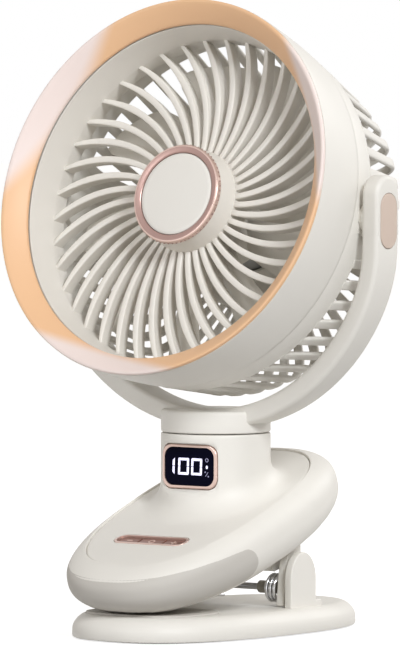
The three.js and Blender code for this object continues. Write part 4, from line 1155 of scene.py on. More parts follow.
        reach, height = self.flare
        rings = [circle(self.neck_r - 0.7, lambda y: np.full_like(y, NECK_TOP)),
                 circle(self.neck_r - 0.2, lambda y: np.full_like(y, NECK_TOP - 0.2)),
                 circle(self.neck_r, lambda y: np.full_like(y, NECK_TOP - 0.7))]
        for share in np.linspace(0.04, 0.96, 24):
            rings.append(circle(self.neck_r, lambda y, s=share: (NECK_TOP - 0.7) * (1 - s)
                                + s * (np.polyval(slope, y) + height)))
        for degrees in range(0, 91, 9):
            angle = math.radians(degrees)
            rings.append(circle(self.neck_r + reach * (1 - math.cos(angle)),
                                lambda y, a=angle: np.polyval(slope, y) + height * (1 - math.sin(a))))
        foot = rings[-1]
        for share in (0.12, 0.3, 0.6, 0.85, 1.0):
            rings.append(foot * (1 - share) + rim * share)
        for inset, sink in ((1.3, 0.08), (0.95, 0.3), (0.66, 0.75), (0.6, self.cover_thickness)):
            rings.append(on_plane(inset, sink))
        return lofted(rings[::-1])

    def build(self) -> None:
        """Makes the housing, its ears, the nose band and the pads."""
        shell = self.shell().moved(BODY)
        width, height, corner, level = self.port
        port = slab(rounded_rectangle(width, height, corner), -12, 3).moved(ALONG_Y)
        port = port.shifted(0, self.half_length - 0.5, level).moved(BODY)
        ears = [self.inner_ear(side) for side in Side]
        gussets = [self.gusset_block(side) for side in Side]
        shell = combined(shell, ears + gussets, Cut.JOIN)
        bore = rod(HINGE_BORE_R, -60, 60, count=24).moved(ALONG_X).shifted(0, HINGE_Y, HINGE_Z)
        shell = combined(shell, [port, bore], Cut.TAKE_AWAY)
        make_piece("body_housing", shell, MOULDED_ABS, "upper_body", ["body_lower_shell"])
        make_piece("nose_band", self.nose_band(), OVERMOULD_TPE, "upper_body", ["nose_bumper"],
                   place=BODY)
        self.build_grip_pad()
        self.build_cover()
        dress_node("charging_socket", GROUND_STEEL)

    def build_grip_pad(self) -> None:
        """The grip pad under the nose: a rounded patch of the underside."""
        width, length, corner, middle_u = self.grip_pad
        outline = rounded_rectangle(width, length, corner, 10)
        rings = []
        for share, lift in ((0.02, 0.5), (0.3, 0.5), (0.6, 0.5), (0.9, 0.5), (0.97, 0.42), (1.0, 0.1),
                            (1.0, -0.8), (0.5, -0.8), (0.02, -0.8)):
            flat = outline * share + [0, middle_u]
            level = self.level_below(flat[:, 0], flat[:, 1]) - lift
            rings.append(np.column_stack([flat, level]))
        make_piece("upper_grip_pad", lofted(rings), SILICONE, "upper_body", ["upper_jaw_pad"],
                   place=BODY)

    def build_cover(self) -> None:
        """The cover with its cuts for the display, the key strip and the swivel."""
        display = Display()
        keys = KeyStrip()
        pocket = display.prism(-0.3, -display.flat_y - 5, -display.flat_y + 3.3)
        hole = keys.prism(-0.3, keys.level - 4, keys.level + 6).moved(BODY)
        bush_r, spindle_r = self.swivel_bores
        bush = rod(bush_r, NECK_TOP - 1.2, NECK_TOP + 5, count=64)
        bore = rod(spindle_r, NECK_TOP - 6, NECK_TOP + 5, count=64)
        cover = combined(self.cover(), [pocket, hole, bush, bore], Cut.TAKE_AWAY)
        make_piece("cover_and_neck", cover, MOULDED_ABS, "upper_body", ["body_top_cover"])


@dataclass
class Display:
    """The little display on the front of the neck."""

    flat_y: float = 20.3
    z: float = 78.8
    width: float = 31.6
    height: float = 21.0
    corner: float = 5.4
    proud: float = 0.9
    rim: float = 1.45
    depth: float = 3.0
    lens_sunk: float = 0.3
    digit: tuple[float, float] = (6.2, 7.9)  # width, height
    stroke: float = 1.15
    bar_gap: float = 0.14
    slant: float = 0.03
    lit_thickness: float = 0.06
    figures_x: tuple[float, float, float] = (-11.7, -3.4, 4.2)
    signs_x: float = 10.1
    signs_rise: float = 3.3
    sign_dot: float = 0.62

    @property
    def low(self) -> float:
        """Height of the bezel's lower edge."""
        return self.z - self.height / 2

    def prism(self, inset: float, from_y: float, to_y: float, edge: float = 0) -> Shape:
        """A prism with the display's outline that looks towards -Y.

        Args:
            inset: how far the outline is drawn in.
            from_y: its front.
            to_y: its back.
            edge: radius of its front rim.

        Returns:
            The prism, in the fan's frame.
        """
        outline = rounded_rectangle(self.width - 2 * inset, self.height - 2 * inset,
                                    self.corner - inset * 0.4, 10)
        blank = slab(outline, 0, to_y - from_y, edge, 0)
        return blank.moved(FACING_FRONT).shifted(y=to_y, z=self.z)

    def bar(self, corners: Sequence[Sequence[float]], x: float) -> Shape:
        """One lit bar, leaning a little to the right as the figures do.

        Args:
            corners: the bar's corners, upright.
            x: the figure's place across.

        Returns:
            The bar, lying flat.
        """
        outline = np.array(corners, float) + [x, 0]
        outline[:, 0] += self.slant * outline[:, 1]
        return slab(outline, 0, self.lit_thickness)

    def figure(self, bars: str, x: float) -> list[Shape]:
        """A seven-segment figure, from the letters of its lit bars.

        Args:
            bars: letters a to g, clockwise from the top bar, g across the middle.
            x: where the figure's middle is.

        Returns:
            A thin mitred bar for each letter, with a fine gap to the next.
        """
        half_x, half_z = self.digit[0] / 2, self.digit[1] / 2
        t, gap = self.stroke, self.bar_gap
        top = [(half_x - gap, half_z), (gap - half_x, half_z), (gap + t - half_x, half_z - t),
               (half_x - t - gap, half_z - t)]
        right = [(half_x, gap), (half_x, half_z - gap), (half_x - t, half_z - t - gap), (half_x - t, gap)]
        middle = [(half_x - t - gap, -t / 2), (half_x - t - gap, t / 2), (gap + t - half_x, t / 2),
                  (gap + t - half_x, -t / 2)]
        shapes = {"a": top, "b": right, "c": [(px, -pz) for px, pz in right[::-1]],
                  "d": [(px, -pz) for px, pz in top[::-1]], "e": [(-px, -pz) for px, pz in right],
                  "f": [(-px, pz) for px, pz in right[::-1]], "g": middle}
        return [self.bar(shapes[letter], x) for letter in bars]

    def signs(self) -> tuple[list[Shape], list[Shape]]:
        """The small column beside the figures: a bright drop, and a dim ring and percent sign.

        Returns:
            The bright shapes and the dim ones, lying flat.
        """
        x, dot, thick = self.signs_x, self.sign_dot, self.lit_thickness
        drop = [slab(ellipse(dot * 0.9, dot * 1.3, count=20) + [x, 0], 0, thick)]
        ring = revolved([(dot * 1.5, 0), (dot * 1.5, thick), (dot, thick), (dot, 0)], 20)
        dim = [ring.shifted(x, self.signs_rise, 0)]
        for step in (-1, 1):
            middle = [x + step * dot * 1.5, -self.signs_rise - step * dot * 1.6]
            dim.append(slab(ellipse(dot * 0.6, dot * 0.6, count=12) + middle, 0, thick))
        stroke = np.array([(-1.5, -1.6), (-1.0, -1.6), (1.5, 1.6), (1.0, 1.6)]) * dot + [x, -self.signs_rise]
        dim.append(slab(stroke, 0, thick))
        return drop, dim

    def build(self) -> None:
        """Makes the bezel, the lens and the lit figures."""
        front = -self.flat_y - self.proud
        back = -self.flat_y + self.depth
        bezel = combined(self.prism(0, front, back, 0.7), [self.prism(self.rim, front - 1, back + 1)],
                         Cut.TAKE_AWAY)
        make_piece("display_frame", bezel, ROSE_FOIL, "upper_body", ["display_bezel"])
        lens = self.prism(self.rim + 0.1, front + self.lens_sunk, back - 1.2, 0.25)
        make_piece("display_window", lens, SMOKED_ACRYLIC, "upper_body", ["display_lens"])
        one, first, second = self.figures_x
        lit = self.figure("bc", one) + self.figure("abcdef", first) + self.figure("abcdef", second)
        bright, dim = self.signs()
        for name, shapes, finish in (("display_figures", lit + bright, LIT_SEGMENT),
                                     ("display_signs", dim, DIM_SEGMENT)):
            face = together(shapes).moved(FACING_FRONT).shifted(y=front + self.lens_sunk - 0.01, z=self.z)
            make_piece(name, face, finish, "upper_body")


@dataclass
class KeyStrip:
    """Three flush keys in a pill-shaped frame on the sloping cover."""

    u: float = -39.8
    length: float = 41.0
    width: float = 9.8
    wall: float = 1.1
    depth: float = 3.4
    middle: float = 14.2
    sunk: float = 0.7
    cap_depth: float = 0.8
    key_gap: float = 0.25
    mark_size: tuple[float, float] = (3.2, 0.7)  # length, width
    level: float = field(init=False)

    def __post_init__(self) -> None:
        """Takes the strip's level from the cover that it sits in."""
        body = BatteryBody()
        front = self.u - self.width / 2
        self.level = body.top_level * (1 + body.wedge * front / body.half_length)

    def prism(self, inset: float, low: float, high: float, edge: float = 0) -> Shape:
        """A prism with the strip's outline, in the body's frame.

        Args:
            inset: how far the outline is drawn in.
            low: its lower level.
            high: its upper level.
            edge: radius of its upper rim.

        Returns:
            The prism.
        """
        width = self.width - 2 * inset
        outline = rounded_rectangle(self.length - 2 * inset, width, width / 2 - 0.01, 14)
        return slab(outline, low, high, edge, 0).shifted(y=self.u)

    def key(self, x_from: float, x_to: float) -> Shape:
        """One key cap, cut out of the pill, with softened edges.

        Args:
            x_from: where the cap begins.
            x_to: where it ends.

        Returns:
            The cap, in the body's frame.
        """
        inset = self.wall + 0.3
        half = self.width / 2 - inset
        reach = self.length / 2 - inset
        low_x, high_x = max(x_from, -reach), min(x_to, reach)
        left = half if low_x == -reach else 0.6
        right = half if high_x == reach else 0.6
        corners = [(high_x, -half), (high_x, half), (low_x, half), (low_x, -half)]
        outline = filleted(corners, [right * 0.99, right * 0.99, left * 0.99, left * 0.99], 10)
        top = self.level - self.sunk
        return slab(np.array(outline), top - self.cap_depth, top, 0.4, 0).shifted(y=self.u)

    def mark(self, name: str) -> list[Shape]:
        """The raised mark on a key: minus, ring or plus.

        Args:
            name: the key's name: left, middle or right.

        Returns:
            The bars or the ring that make the mark.
        """
        low = self.level - self.sunk - 0.1
        bar = slab(rounded_rectangle(*self.mark_size, 0.2, 2), low, low + 0.3, 0.1, 0)
        offset = (self.length + self.middle) / 4 - self.wall
        if name == "left":
            return [bar.shifted(-offset, self.u)]
        if name == "right":
            return [bar.shifted(offset, self.u), bar.turned(90).shifted(offset, self.u)]
        ring = [(1.7, low), (1.7, low + 0.3), (1.1, low + 0.3), (1.1, low)]
        return [revolved(ring, 32).shifted(0, self.u)]

    def build(self) -> None:
        """Makes the frame and the keys."""
        rim = self.level + 0.25
        floor = self.level - self.depth
        well = self.prism(self.wall, floor + 0.6, rim + 2)
        bezel = combined(self.prism(0, floor, rim, 0.35), [well], Cut.TAKE_AWAY)
        make_piece("key_frame", bezel, ROSE_FOIL, "upper_body", ["button_bezel"], place=BODY)
        half = self.middle / 2
        gap = self.key_gap
        reach = self.length
        spans = {"left": (-reach, -half - gap), "middle": (gap - half, half - gap),
                 "right": (half + gap, reach)}
        for name, (low, high) in spans.items():
            make_piece(f"key_cap_{name}", self.key(low, high), KEY_LACQUER, f"{name}_key",
                       [f"key_{name}"], place=BODY)
            make_piece(f"key_mark_{name}", together(self.mark(name)), ROSE_FOIL, f"{name}_key",
                       place=BODY)


@dataclass
class Fork:
    """The half-ring strap that carries the head, with its round foot on the neck."""

    mean_r: float = 97.1
    thickness: float = 9.6
    width: float = 18.0
    above: float = 20.0
    edge: float = 2.4
    straight: float = 14.52
    arm_foot: float = -6.0
    easing: int = 30
    collar_top: float = 105.0
    collar_seam: float = 0.5
    collar_r: float = 25.9
    seat: tuple[float, float] = (8.0, 0.7)  # radius, height
    cap: tuple[float, float] = (12.8, 25.6)  # width, height
    cap_raised: float = -1.2
    cap_thickness: float = 1.5
    cap_proud: float = 0.3
    pivot_bores: tuple[float, float] = (4.3, 5.9)  # pin, head
    foot_bore_r: float = 11.8

    @property
    def arm_middle(self) -> float:
        """Distance of an arm's middle from the swivel axis."""
        return self.mean_r * math.cos(math.radians(self.straight))

    @property
    def arm_outside(self) -> float:
        """Distance of an arm's outer face from the swivel axis."""
        return self.arm_middle + self.thickness / 2

    def strap(self) -> Shape:
        """The strap from arm to arm in one sweep, with the bend into the arms eased.

        Returns:
            The closed strap.
        """
        angles = np.radians(np.linspace(-self.straight, self.straight - 180, 97))
        bow = np.stack([np.cos(angles), np.sin(angles)], 1) * self.mean_r
        down = np.array([(self.arm_middle, z) for z in np.arange(self.arm_foot, bow[0, 1] + 1, -2.0)])
        line = np.vstack([down, bow, down[::-1] * [-1, 1]])
        for _ in range(self.easing):
            line[1:-1] = (line[:-2] + 2 * line[1:-1] + line[2:]) / 4
        path = np.column_stack([line[:, 0], np.zeros(len(line)), line[:, 1]])
        ahead = np.gradient(path, axis=0)
        outward = np.stack([-ahead[:, 2], ahead[:, 1], ahead[:, 0]], 1)
        outline = rounded_rectangle(self.thickness, self.width, self.edge, 6)
        return swept(path + [0, 0, PIVOT_Z], outline, outward)

    def arm(self, side: Side) -> Shape:
        """An arm's straight stretch, with a round top and soft edges.

        Args:
            side: the side that it is on.

        Returns:
            The stretch, reaching into the strap below.
        """
        half = self.width / 2
        top = self.above - half
        foot = self.arm_foot - self.edge
        outline: list[Sequence[float]] = [(half, foot)]
        outline += [(half * math.cos(t), top + half * math.sin(t)) for t in np.linspace(0, math.pi, 41)]
        outline.append((-half, foot))
        blank = slab(np.array(outline), -self.thickness / 2, self.thickness / 2, self.edge, steps=6)
        return blank.moved(ALONG_X).shifted(side.value * self.arm_middle, 0, PIVOT_Z)

    def pill(self, grow: float, side: Side, low: float, high: float, edge: float = 0) -> Shape:
        """A pill-shaped prism on the pivot axis, from one distance to another.

        Args:
            grow: how much larger it is than the cap.
            side: the side that it is on.
            low: its inner end's distance from the middle.
            high: that of its outer end.
            edge: radius of its outer rim.

        Returns:
            The prism, at the height of the pivot.
        """
        width, height = self.cap
        outline = rounded_rectangle(width + 2 * grow, height + 2 * grow, width / 2 + grow - 0.01, 14)
        blank = slab(outline, low, high, edge, 0).moved(ALONG_X).moved(side.outward)
        return blank.shifted(z=PIVOT_Z + self.cap_raised)

    def collar(self) -> Shape:
        """The round foot on the neck, with a small reveal at the seam.

        Returns:
            The closed foot.
        """
        bottom = NECK_TOP + self.collar_seam
        outline = filleted([(0, bottom), (self.collar_r, bottom), (self.collar_r, self.collar_top),
                            (0, self.collar_top)], [0, 0.8, 1.6, 0], 5)
        return revolved(outline, 128)

    def build(self) -> None:
        """Makes the fork, with the bore for the swivel in its foot, and its caps."""
        parts = [self.collar(), self.arm(Side.LEFT), self.arm(Side.RIGHT)]
        inside = self.arm_middle - self.thickness / 2
        seat_r, seat_proud = self.seat
        for side in Side:
            seat = rod(seat_r, inside - seat_proud, inside + 2, 0.2).moved(ALONG_X)
            parts.append(seat.moved(side.outward).shifted(z=PIVOT_Z))
        fork = combined(self.strap(), parts, Cut.JOIN)
        floor = self.arm_outside + self.cap_proud - self.cap_thickness
        cuts = [self.pill(0.3, side, floor - 0.3, self.arm_outside + 5) for side in Side]
        pin_r, head_r = self.pivot_bores
        for side in Side:
            for radius, start in ((pin_r, inside - 5), (head_r, floor - 2.8)):
                hole = rod(radius, start, self.arm_outside + 5, count=32).moved(ALONG_X)
                cuts.append(hole.moved(side.outward).shifted(z=PIVOT_Z))
        cuts.append(rod(self.foot_bore_r, NECK_TOP - 5, self.collar_top - 1.1, count=64))
        fork = combined(fork, cuts, Cut.TAKE_AWAY)
        make_piece("fork_moulding", fork, MOULDED_ABS, "yoke", ["yoke_fork"])
        for side in Side:
            cap = self.pill(0, side, floor, self.arm_outside + self.cap_proud, 0.45)
            make_piece(f"pivot_trim_{side.label}", cap, PALE_ROSE, "yoke",
                       [f"pivot_cap_{side.label}"])


@dataclass
class Drum:
    """The round head: ring, shroud, grille with its hub, and the ribbed rear guard."""

    # outer and inner radius, outer and inner height
    ring: tuple[float, float, float, float] = (91.1, 81.3, 47.5, 39.7)
    ring_thickness: float = 1.9
    ring_crown: float = 0.5
    lip_r: float = 91.4
    middle: tuple[float, float] = (90.2, 30.0)  # radius, height
    rear: tuple[float, float] = (87.9, 12.0)  # radius, height
    wall: float = 2.2
    duct_front_r: float = 80.9
    vane_r: float = 79.0
    vanes: int = 40
    vane_front: float = 20.6
    vane_depth: tuple[float, float] = (8.6, 7.0)  # root, tip
    vane_thickness: tuple[float, float] = (2.7, 3.5)  # root, tip
    vane_phase: float = -2.0
    vane_sweep: float = 18.5
    vane_power: float = 1.4
    hub: tuple[float, float, float] = (23.3, 24.8, 25.6)  # radius in front, at the vanes, behind
    hub_front: float = 31.0
    hub_rear: float = 10.1
    hub_ring: tuple[float, float, float] = (23.9, 20.0, 3.2)  # outer and inner radius, height
    beads: int = 64
    bead_r: float = 0.5
    face_r: float = 22.7
    guard_front_r: float = 87.3
    slot: tuple[float, float] = (85.6, -2.0)  # radius, height
    side: tuple[float, float] = (80.6, -30.0)  # radius, height
    back_h: float = -43.0
    rim_r: float = 66.0
    disc_r: float = 38.0
    disc_thickness: float = 2.6
    ribs: int = 48
    rib_width: float = 4.9
    boss_r: float = 9.0
    pad_half_deg: float = 15.0
    rib_twist: float = 9.0
    motor_r: float = 19.0
    segments: int = 192

    def build_ring(self) -> None:
        """The wide coloured ring, slightly crowned, with soft edges."""
        outer, inner, front, back = self.ring
        crown = [(outer - 0.6 + (inner - outer + 0.6) * t,
                  front - 0.1 + (back - front + 0.1) * t + self.ring_crown * math.sin(math.pi * t))
                 for t in np.linspace(0.04, 0.96, 9)]
        outline = [(outer, front - 2.2), (outer, front - 0.6), *crown, (inner, back - 0.25),
                   (inner - 0.1, back - self.ring_thickness)]
        outline = filleted(outline, [0.2, 0.5, *[0] * len(crown), 0.3, 0.3], 4)
        make_piece("ring_trim", revolved(outline, self.segments), RING_LACQUER, "head",
                   ["front_ring"], place=HEAD, sharp=50)

    def build_shroud(self) -> None:
        """The drum's front half, a shallow barrel whose lip lies just behind the ring."""
        outer, front = self.ring[0], self.ring[2]
        lip_inner = outer - 0.6
        middle_r, middle_h = self.middle
        rear_r, rear_h = self.rear
        heights = np.linspace(rear_h + 0.4, front - 2.5, 15)
        curve = np.polyfit([rear_h, middle_h, front - 1.6], [rear_r, middle_r, self.lip_r], 2)
        outline = [(lip_inner, front - 2.35), (outer - 0.1, front - 2.3), (self.lip_r - 0.1, front - 2.25)]
        outline += [(float(np.polyval(curve, h)), float(h)) for h in heights[::-1]]
        outline += [(rear_r - 0.4, rear_h), (rear_r - self.wall, rear_h)]
        outline += [(float(np.polyval(curve, h)) - self.wall, float(h)) for h in heights[1:-2]]
        outline.append((lip_inner, front - 4.5))
        make_piece("shroud_moulding", revolved(outline, self.segments), MOULDED_ABS, "head",
                   ["front_shroud"], place=HEAD, sharp=45)

    def vane_angle(self, radius: np.ndarray) -> np.ndarray:
        """Angle of a vane's middle line, which grows faster towards the tip.

        Args:
            radius: distances from the axis.

        Returns:
            The angles in radians, one for each distance.
        """
        root = self.hub[1]
        share = np.clip((radius - root) / (self.vane_r - root), 0, None)
        return math.radians(self.vane_sweep) * share**self.vane_power

    def vane(self) -> Shape:
        """One deep vane: softly crowned in front, thinner behind, swept and pointed towards the duct.

        Returns:
            The vane, in the head's frame.
        """
        radii = np.linspace(self.hub[1] - 1.2, self.vane_r + 0.9, 22)
        angle = self.vane_angle(radii)
        slope = self.vane_angle(radii + 0.5) - self.vane_angle(radii - 0.5)
        heading = angle + np.arctan(radii * slope)
        centre = np.stack([radii * np.cos(angle), radii * np.sin(angle)], 1)
        across = np.stack([-np.sin(heading), np.cos(heading)], 1)
        front = self.vane_front + 0.3
        rings = []
        for point, side, share in zip(centre, across, np.linspace(0, 1, len(radii))):
            half = (self.vane_thickness[0] * (1 - share) + self.vane_thickness[1] * share) / 2
            half *= math.sqrt(1 - 0.75 * max(0.0, share - 0.7) / 0.3)
            depth = self.vane_depth[0] * (1 - share) + self.vane_depth[1] * share
            crown = 0.45 * half
            section = [(-0.45 * half, front - depth), (-half, front - crown)]
            section += [(-half * math.cos(t), front - crown + crown * math.sqrt(math.sin(t)))
                        for t in np.linspace(math.pi / 10, math.pi * 9 / 10, 7)]
            section += [(half, front - crown), (0.45 * half, front - depth)]
            rings.append([[*(point + side * s), h] for s, h in section])
        return lofted(rings)

    def build_grille(self) -> None:
        """The duct with its swept vanes and the hub, one moulding."""
        front_h = self.ring[3] - self.ring_thickness - 0.3
        flange_r = self.rear[0] - self.wall - 0.3
        rear_h = self.rear[1] + 0.3
        duct = filleted([(self.duct_front_r, front_h), (self.vane_r, self.vane_front), (self.vane_r, rear_h),
                         (flange_r, rear_h), (flange_r, rear_h + 2), (self.vane_r + 1.8, rear_h + 2),
                         (self.duct_front_r + 1.6, front_h - 0.4)], [0.3, 3, 0.5, 0.3, 0.3, 0.5, 0.3], 4)
        front_r, root_r, rear_r = self.hub
        hub = filleted([(0, self.hub_front), (front_r, self.hub_front), (root_r, self.vane_front),
                        (rear_r, self.hub_rear), (rear_r - 2.2, self.hub_rear),
                        (front_r - 2.2, self.hub_front - 2.2), (0, self.hub_front - 2.2)],
                       [0, 0.4, 8, 0.5, 0.5, 1, 0], 5)
        first = self.vane()
        vanes = [first.turned(self.vane_phase + 360 / self.vanes * i) for i in range(self.vanes)]
        grille = together([revolved(duct, self.segments), revolved(hub, 120), *vanes])
        make_piece("outlet_grille", grille, POLISHED_ABS, "head",
                   ["front_grille", "outlet_duct", "hub_shell"], place=HEAD, sharp=50)

    def build_hub(self) -> None:
        """The rose ring with its fine beads, and the white disc inside it."""
        outer, inner, height = self.hub_ring
        low = self.hub_front + 0.3
        top = low + height
        face = filleted([(self.face_r + 0.3, low), (self.face_r + 0.3, top - 0.5), (self.face_r, top - 0.1),
                         (inner + 0.5, top - 0.45), (inner, top - 0.9), (inner, low)],
                        [0, 0.3, 0.3, 0.3, 0.3, 0.2], 4)
        make_piece("hub_trim", revolved(face, 160), ROSE_LACQUER, "head", ["hub_ring"],
                   place=HEAD)
        band = filleted([(outer, low), (outer, top - 1.0), (outer - 0.5, top - 0.25),
                         (self.face_r + 0.1, top - 0.25), (self.face_r + 0.1, low)], [0.3, 0.5, 0.4, 0, 0], 4)
        make_piece("hub_rim", revolved(band, 160), ROSE_FOIL, "head", place=HEAD)
        bead = revolved([(self.bead_r * math.sin(t), self.bead_r * math.cos(t))
                         for t in np.linspace(0, math.pi, 7)], 8).shifted(outer - 0.05, 0, low + 1.1)
        beads = [bead.turned(360 / self.beads * i) for i in range(self.beads)]
        make_piece("hub_beads", together(beads), ROSE_LACQUER, "head", place=HEAD)
        radius = inner - 0.3
        dish = [(0, low), (radius, low), (radius, top - 1.1), (radius - 0.5, top - 0.75)]
        dish += [(radius * t, top - 0.75 + 0.55 * (1 - t * t)) for t in (0.9, 0.7, 0.5, 0.25, 0.0)]
        make_piece("hub_disc", revolved(dish, 120), MOULDED_ABS, "head", ["hub_cap"],
                   place=HEAD, sharp=50)

    def rib_path(self) -> tuple[np.ndarray, np.ndarray]:
        """The middle line of one rib as (radius, height) points, and its twist at each.

        Returns:
            The points from the slot to the middle, and the twist at each in degrees.
        """
        slot_r, slot_h = self.slot
        side_r, side_h = self.side
        straight = [(slot_r + 0.3, slot_h + 1.2), (slot_r, slot_h),
                    (slot_r * 0.5 + side_r * 0.5, (slot_h + side_h) / 2)]
        arc = [(self.rim_r + (side_r - self.rim_r) * math.cos(t),
                side_h + (self.back_h - side_h) * math.sin(t))
               for t in np.linspace(0, math.pi / 2, 12)]
        flat = [(r, self.back_h) for r in np.linspace(self.rim_r - 6, self.disc_r - 1.5, 5)]
        points = np.array(straight + arc + flat)
        run = np.concatenate([[0], np.cumsum(np.linalg.norm(np.diff(points, axis=0), axis=1))])
        total = slot_h - self.back_h + self.rim_r - self.disc_r
        return points, np.radians(self.rib_twist) * run / total

    def rib(self) -> Shape:
        """One rounded rib of the guard, twisted as it runs to the middle.

        Returns:
            The rib, in the head's frame.
        """
        points, twist = self.rib_path()
        ahead = np.gradient(points, axis=0)
        ahead /= np.linalg.norm(ahead, axis=1)[:, None]
        inward = np.stack([ahead[:, 1], -ahead[:, 0]], 1)
        middle = points + inward * self.wall / 2
        path = np.stack([middle[:, 0] * np.cos(twist), middle[:, 0] * np.sin(twist), middle[:, 1]], 1)
        across = np.stack([-np.sin(twist), np.cos(twist), np.zeros_like(twist)], 1)
        outline = rounded_rectangle(self.rib_width, self.wall, 0.9, 3)
        width = np.minimum(1.0, points[:, 0] / self.rim_r)
        width[points[:, 1] > self.back_h + 0.01] = 1.0
        sections = np.repeat(outline[None], len(path), 0) * np.stack([width, np.ones_like(width)], 1)[:, None]
        return swept(path, sections, across)

    def build_guard(self) -> None:
        """The drum's rear half: a band, the ribs, and the back disc with the motor's cup."""
        slot_r, slot_h = self.slot
        front_h = self.rear[1] - 0.3
        band = filleted([(self.guard_front_r, front_h), (self.guard_front_r - self.wall, front_h),
                         (slot_r - self.wall, slot_h), (slot_r, slot_h)], [0.4, 0.3, 0.8, 0.8], 4)
        back = self.back_h
        cup = self.motor_r + 0.3
        disc = filleted([(0, back - 0.5), (self.disc_r - 2, back - 0.5), (self.disc_r, back + 0.4),
                         (self.disc_r, back + self.disc_thickness), (cup + 1.8, back + self.disc_thickness),
                         (cup + 1.8, back + 12), (cup, back + 12), (cup, back + 3.2), (0, back + 3.2)],
                        [0, 1.5, 0.8, 0.5, 1, 0.4, 0.4, 0, 0], 4)
        parts = [revolved(band, self.segments), revolved(disc, 128)]
        first = self.rib()
        parts += [first.turned(360 / self.ribs * i) for i in range(self.ribs)]
        fork = Fork()
        seat = fork.arm_middle - fork.thickness / 2 - fork.seat[1]
        side_r, side_h = self.side
        pad = [(slot_r - 0.2, slot_h + 1), (slot_r - 0.2 - self.wall * 0.7, slot_h + 1),
               (side_r - 0.2 - self.wall * 0.7, side_h), (side_r - 0.2, side_h)]
        for side in Side:
            boss = rod(self.boss_r, slot_r - 5, seat - 2.0, 0.3).moved(ALONG_X)
            parts.append(boss.moved(side.outward))
            middle = 0 if side is Side.RIGHT else 180
            parts.append(sector(pad, middle - self.pad_half_deg, middle + self.pad_half_deg))
        make_piece("guard_moulding", together(parts), MOULDED_ABS, "head", ["rear_guard"],
                   place=HEAD, sharp=45)

    def build(self) -> None:
        """Makes the head's fixed pieces."""
        self.build_ring()
        self.build_shroud()
        self.build_grille()
        self.build_hub()
        self.build_guard()


@dataclass
class Rotor:
    """The impeller and the motor behind it."""

    blades: int = 9
    tip_r: float = 75.0
    hub_r: float = 23.0
    front: float = 6.5
    rear: float = -14.0
    pitch: float = 34.0
    washout: float = 8.0
    chord: float = 38.0
    phase: float = 12.0
    thickness: float = 1.8
    camber: float = 2.2
    sweep: float = 14.0
    motor: tuple[float, float, float] = (19.0, -16.5, -39.5)  # radius, front, rear

    def blade(self) -> Shape:
        """One pitched blade, thin and twisted, with rounded edges.

        Returns:
            The blade, in the head's frame.
        """
        rings = []
        for radius in np.linspace(self.hub_r - 1.2, self.tip_r, 14):
            share = (radius - self.hub_r) / (self.tip_r - self.hub_r)
            lean = math.radians(self.pitch + self.washout * (1 - 2 * share))
            length = self.chord * (0.62 + 0.38 * share)
            if share > 0.85:
                length *= math.sqrt(1 - ((share - 0.85) / 0.15 * 0.6) ** 2)
            ring = []
            upper = [(t, 1) for t in np.linspace(-0.5, 0.5, 9)]
            lower = [(t, -1) for t in np.linspace(0.5, -0.5, 9)]
            for t, side in upper + lower:
                taper = math.sqrt(max(0.02, 1 - (2 * t) ** 4))
                along = t * length
                rise = self.camber * (1 - (2 * t) ** 2) + side * self.thickness / 2 * taper
                across = along * math.cos(lean) - rise * math.sin(lean)
                axial = along * math.sin(lean) + rise * math.cos(lean)
                angle = across / radius + math.radians(self.sweep) * share
                ring.append([radius * math.cos(angle), radius * math.sin(angle), axial])
            rings.append(ring)
        return lofted(rings)

    def build(self) -> None:
        """Makes the impeller and the motor can."""
        hub = filleted([(0, self.front), (self.hub_r * 0.6, self.front - 1), (self.hub_r, self.front - 6),
                        (self.hub_r, self.rear), (self.hub_r - 2, self.rear), (9.5, self.front - 6),
                        (5.5, self.rear + 1), (0, self.rear + 1)], [0, 6, 5, 0.6, 0.6, 2, 0.5, 0], 5)
        first = self.blade().shifted(z=(self.front + self.rear) / 2 - 1)
        blades = [first.turned(self.phase + 360 / self.blades * i) for i in range(self.blades)]
        make_piece("impeller_moulding", together([revolved(hub, 96), *blades]), NYLON, "rotor",
                   ["impeller"], place=HEAD, sharp=50)
        radius, front, rear = self.motor
        can = filleted([(0, rear), (radius, rear), (radius, front), (10.0, front), (9.4, front + 1.0),
                        (0, front + 1.0)], [0, 1.4, 2.2, 0.4, 0.4, 0], 5)
        make_piece("motor_body", revolved(can, 96), ZINC_PLATE, "head", ["motor_can"], place=HEAD)
        dress_node("motor_shaft", GROUND_STEEL)


# CAD nodes inside the fan that stay as they are and only get a finish
INNER_NODES = {
    "display_module": SOLDER_MASK, "control_board": SOLDER_MASK, "battery_cell_1": SHRINK_SLEEVE,
    "battery_cell_2": SHRINK_SLEEVE, "swivel_bush": NYLON, "swivel_spindle": GROUND_STEEL,
    "swivel_retainer": GROUND_STEEL, "pivot_pin_left": GROUND_STEEL, "pivot_pin_right": GROUND_STEEL,
    "pivot_washer_left": NYLON, "pivot_washer_right": NYLON,
}


# ------------------------------------------------------------------ studio
def backdrop_ray(tree: bpy.types.NodeTree) -> bpy.types.NodeSocket:
    """Tells the rays that see the white backdrop from those that light the fan.

    Args:
        tree: the node tree to work in.

    Returns:
        A socket that is 1 for camera, glossy and transmission rays, and otherwise 0.
    """
    path = add_node(tree, "ShaderNodeLightPath")
    seen = path.outputs["Is Camera Ray"]
    for kind in ("Is Glossy Ray", "Is Transmission Ray"):
        either = add_node(tree, "ShaderNodeMath", {0: seen, 1: path.outputs[kind]}, operation="MAXIMUM")
        seen = either.outputs[0]
    return seen


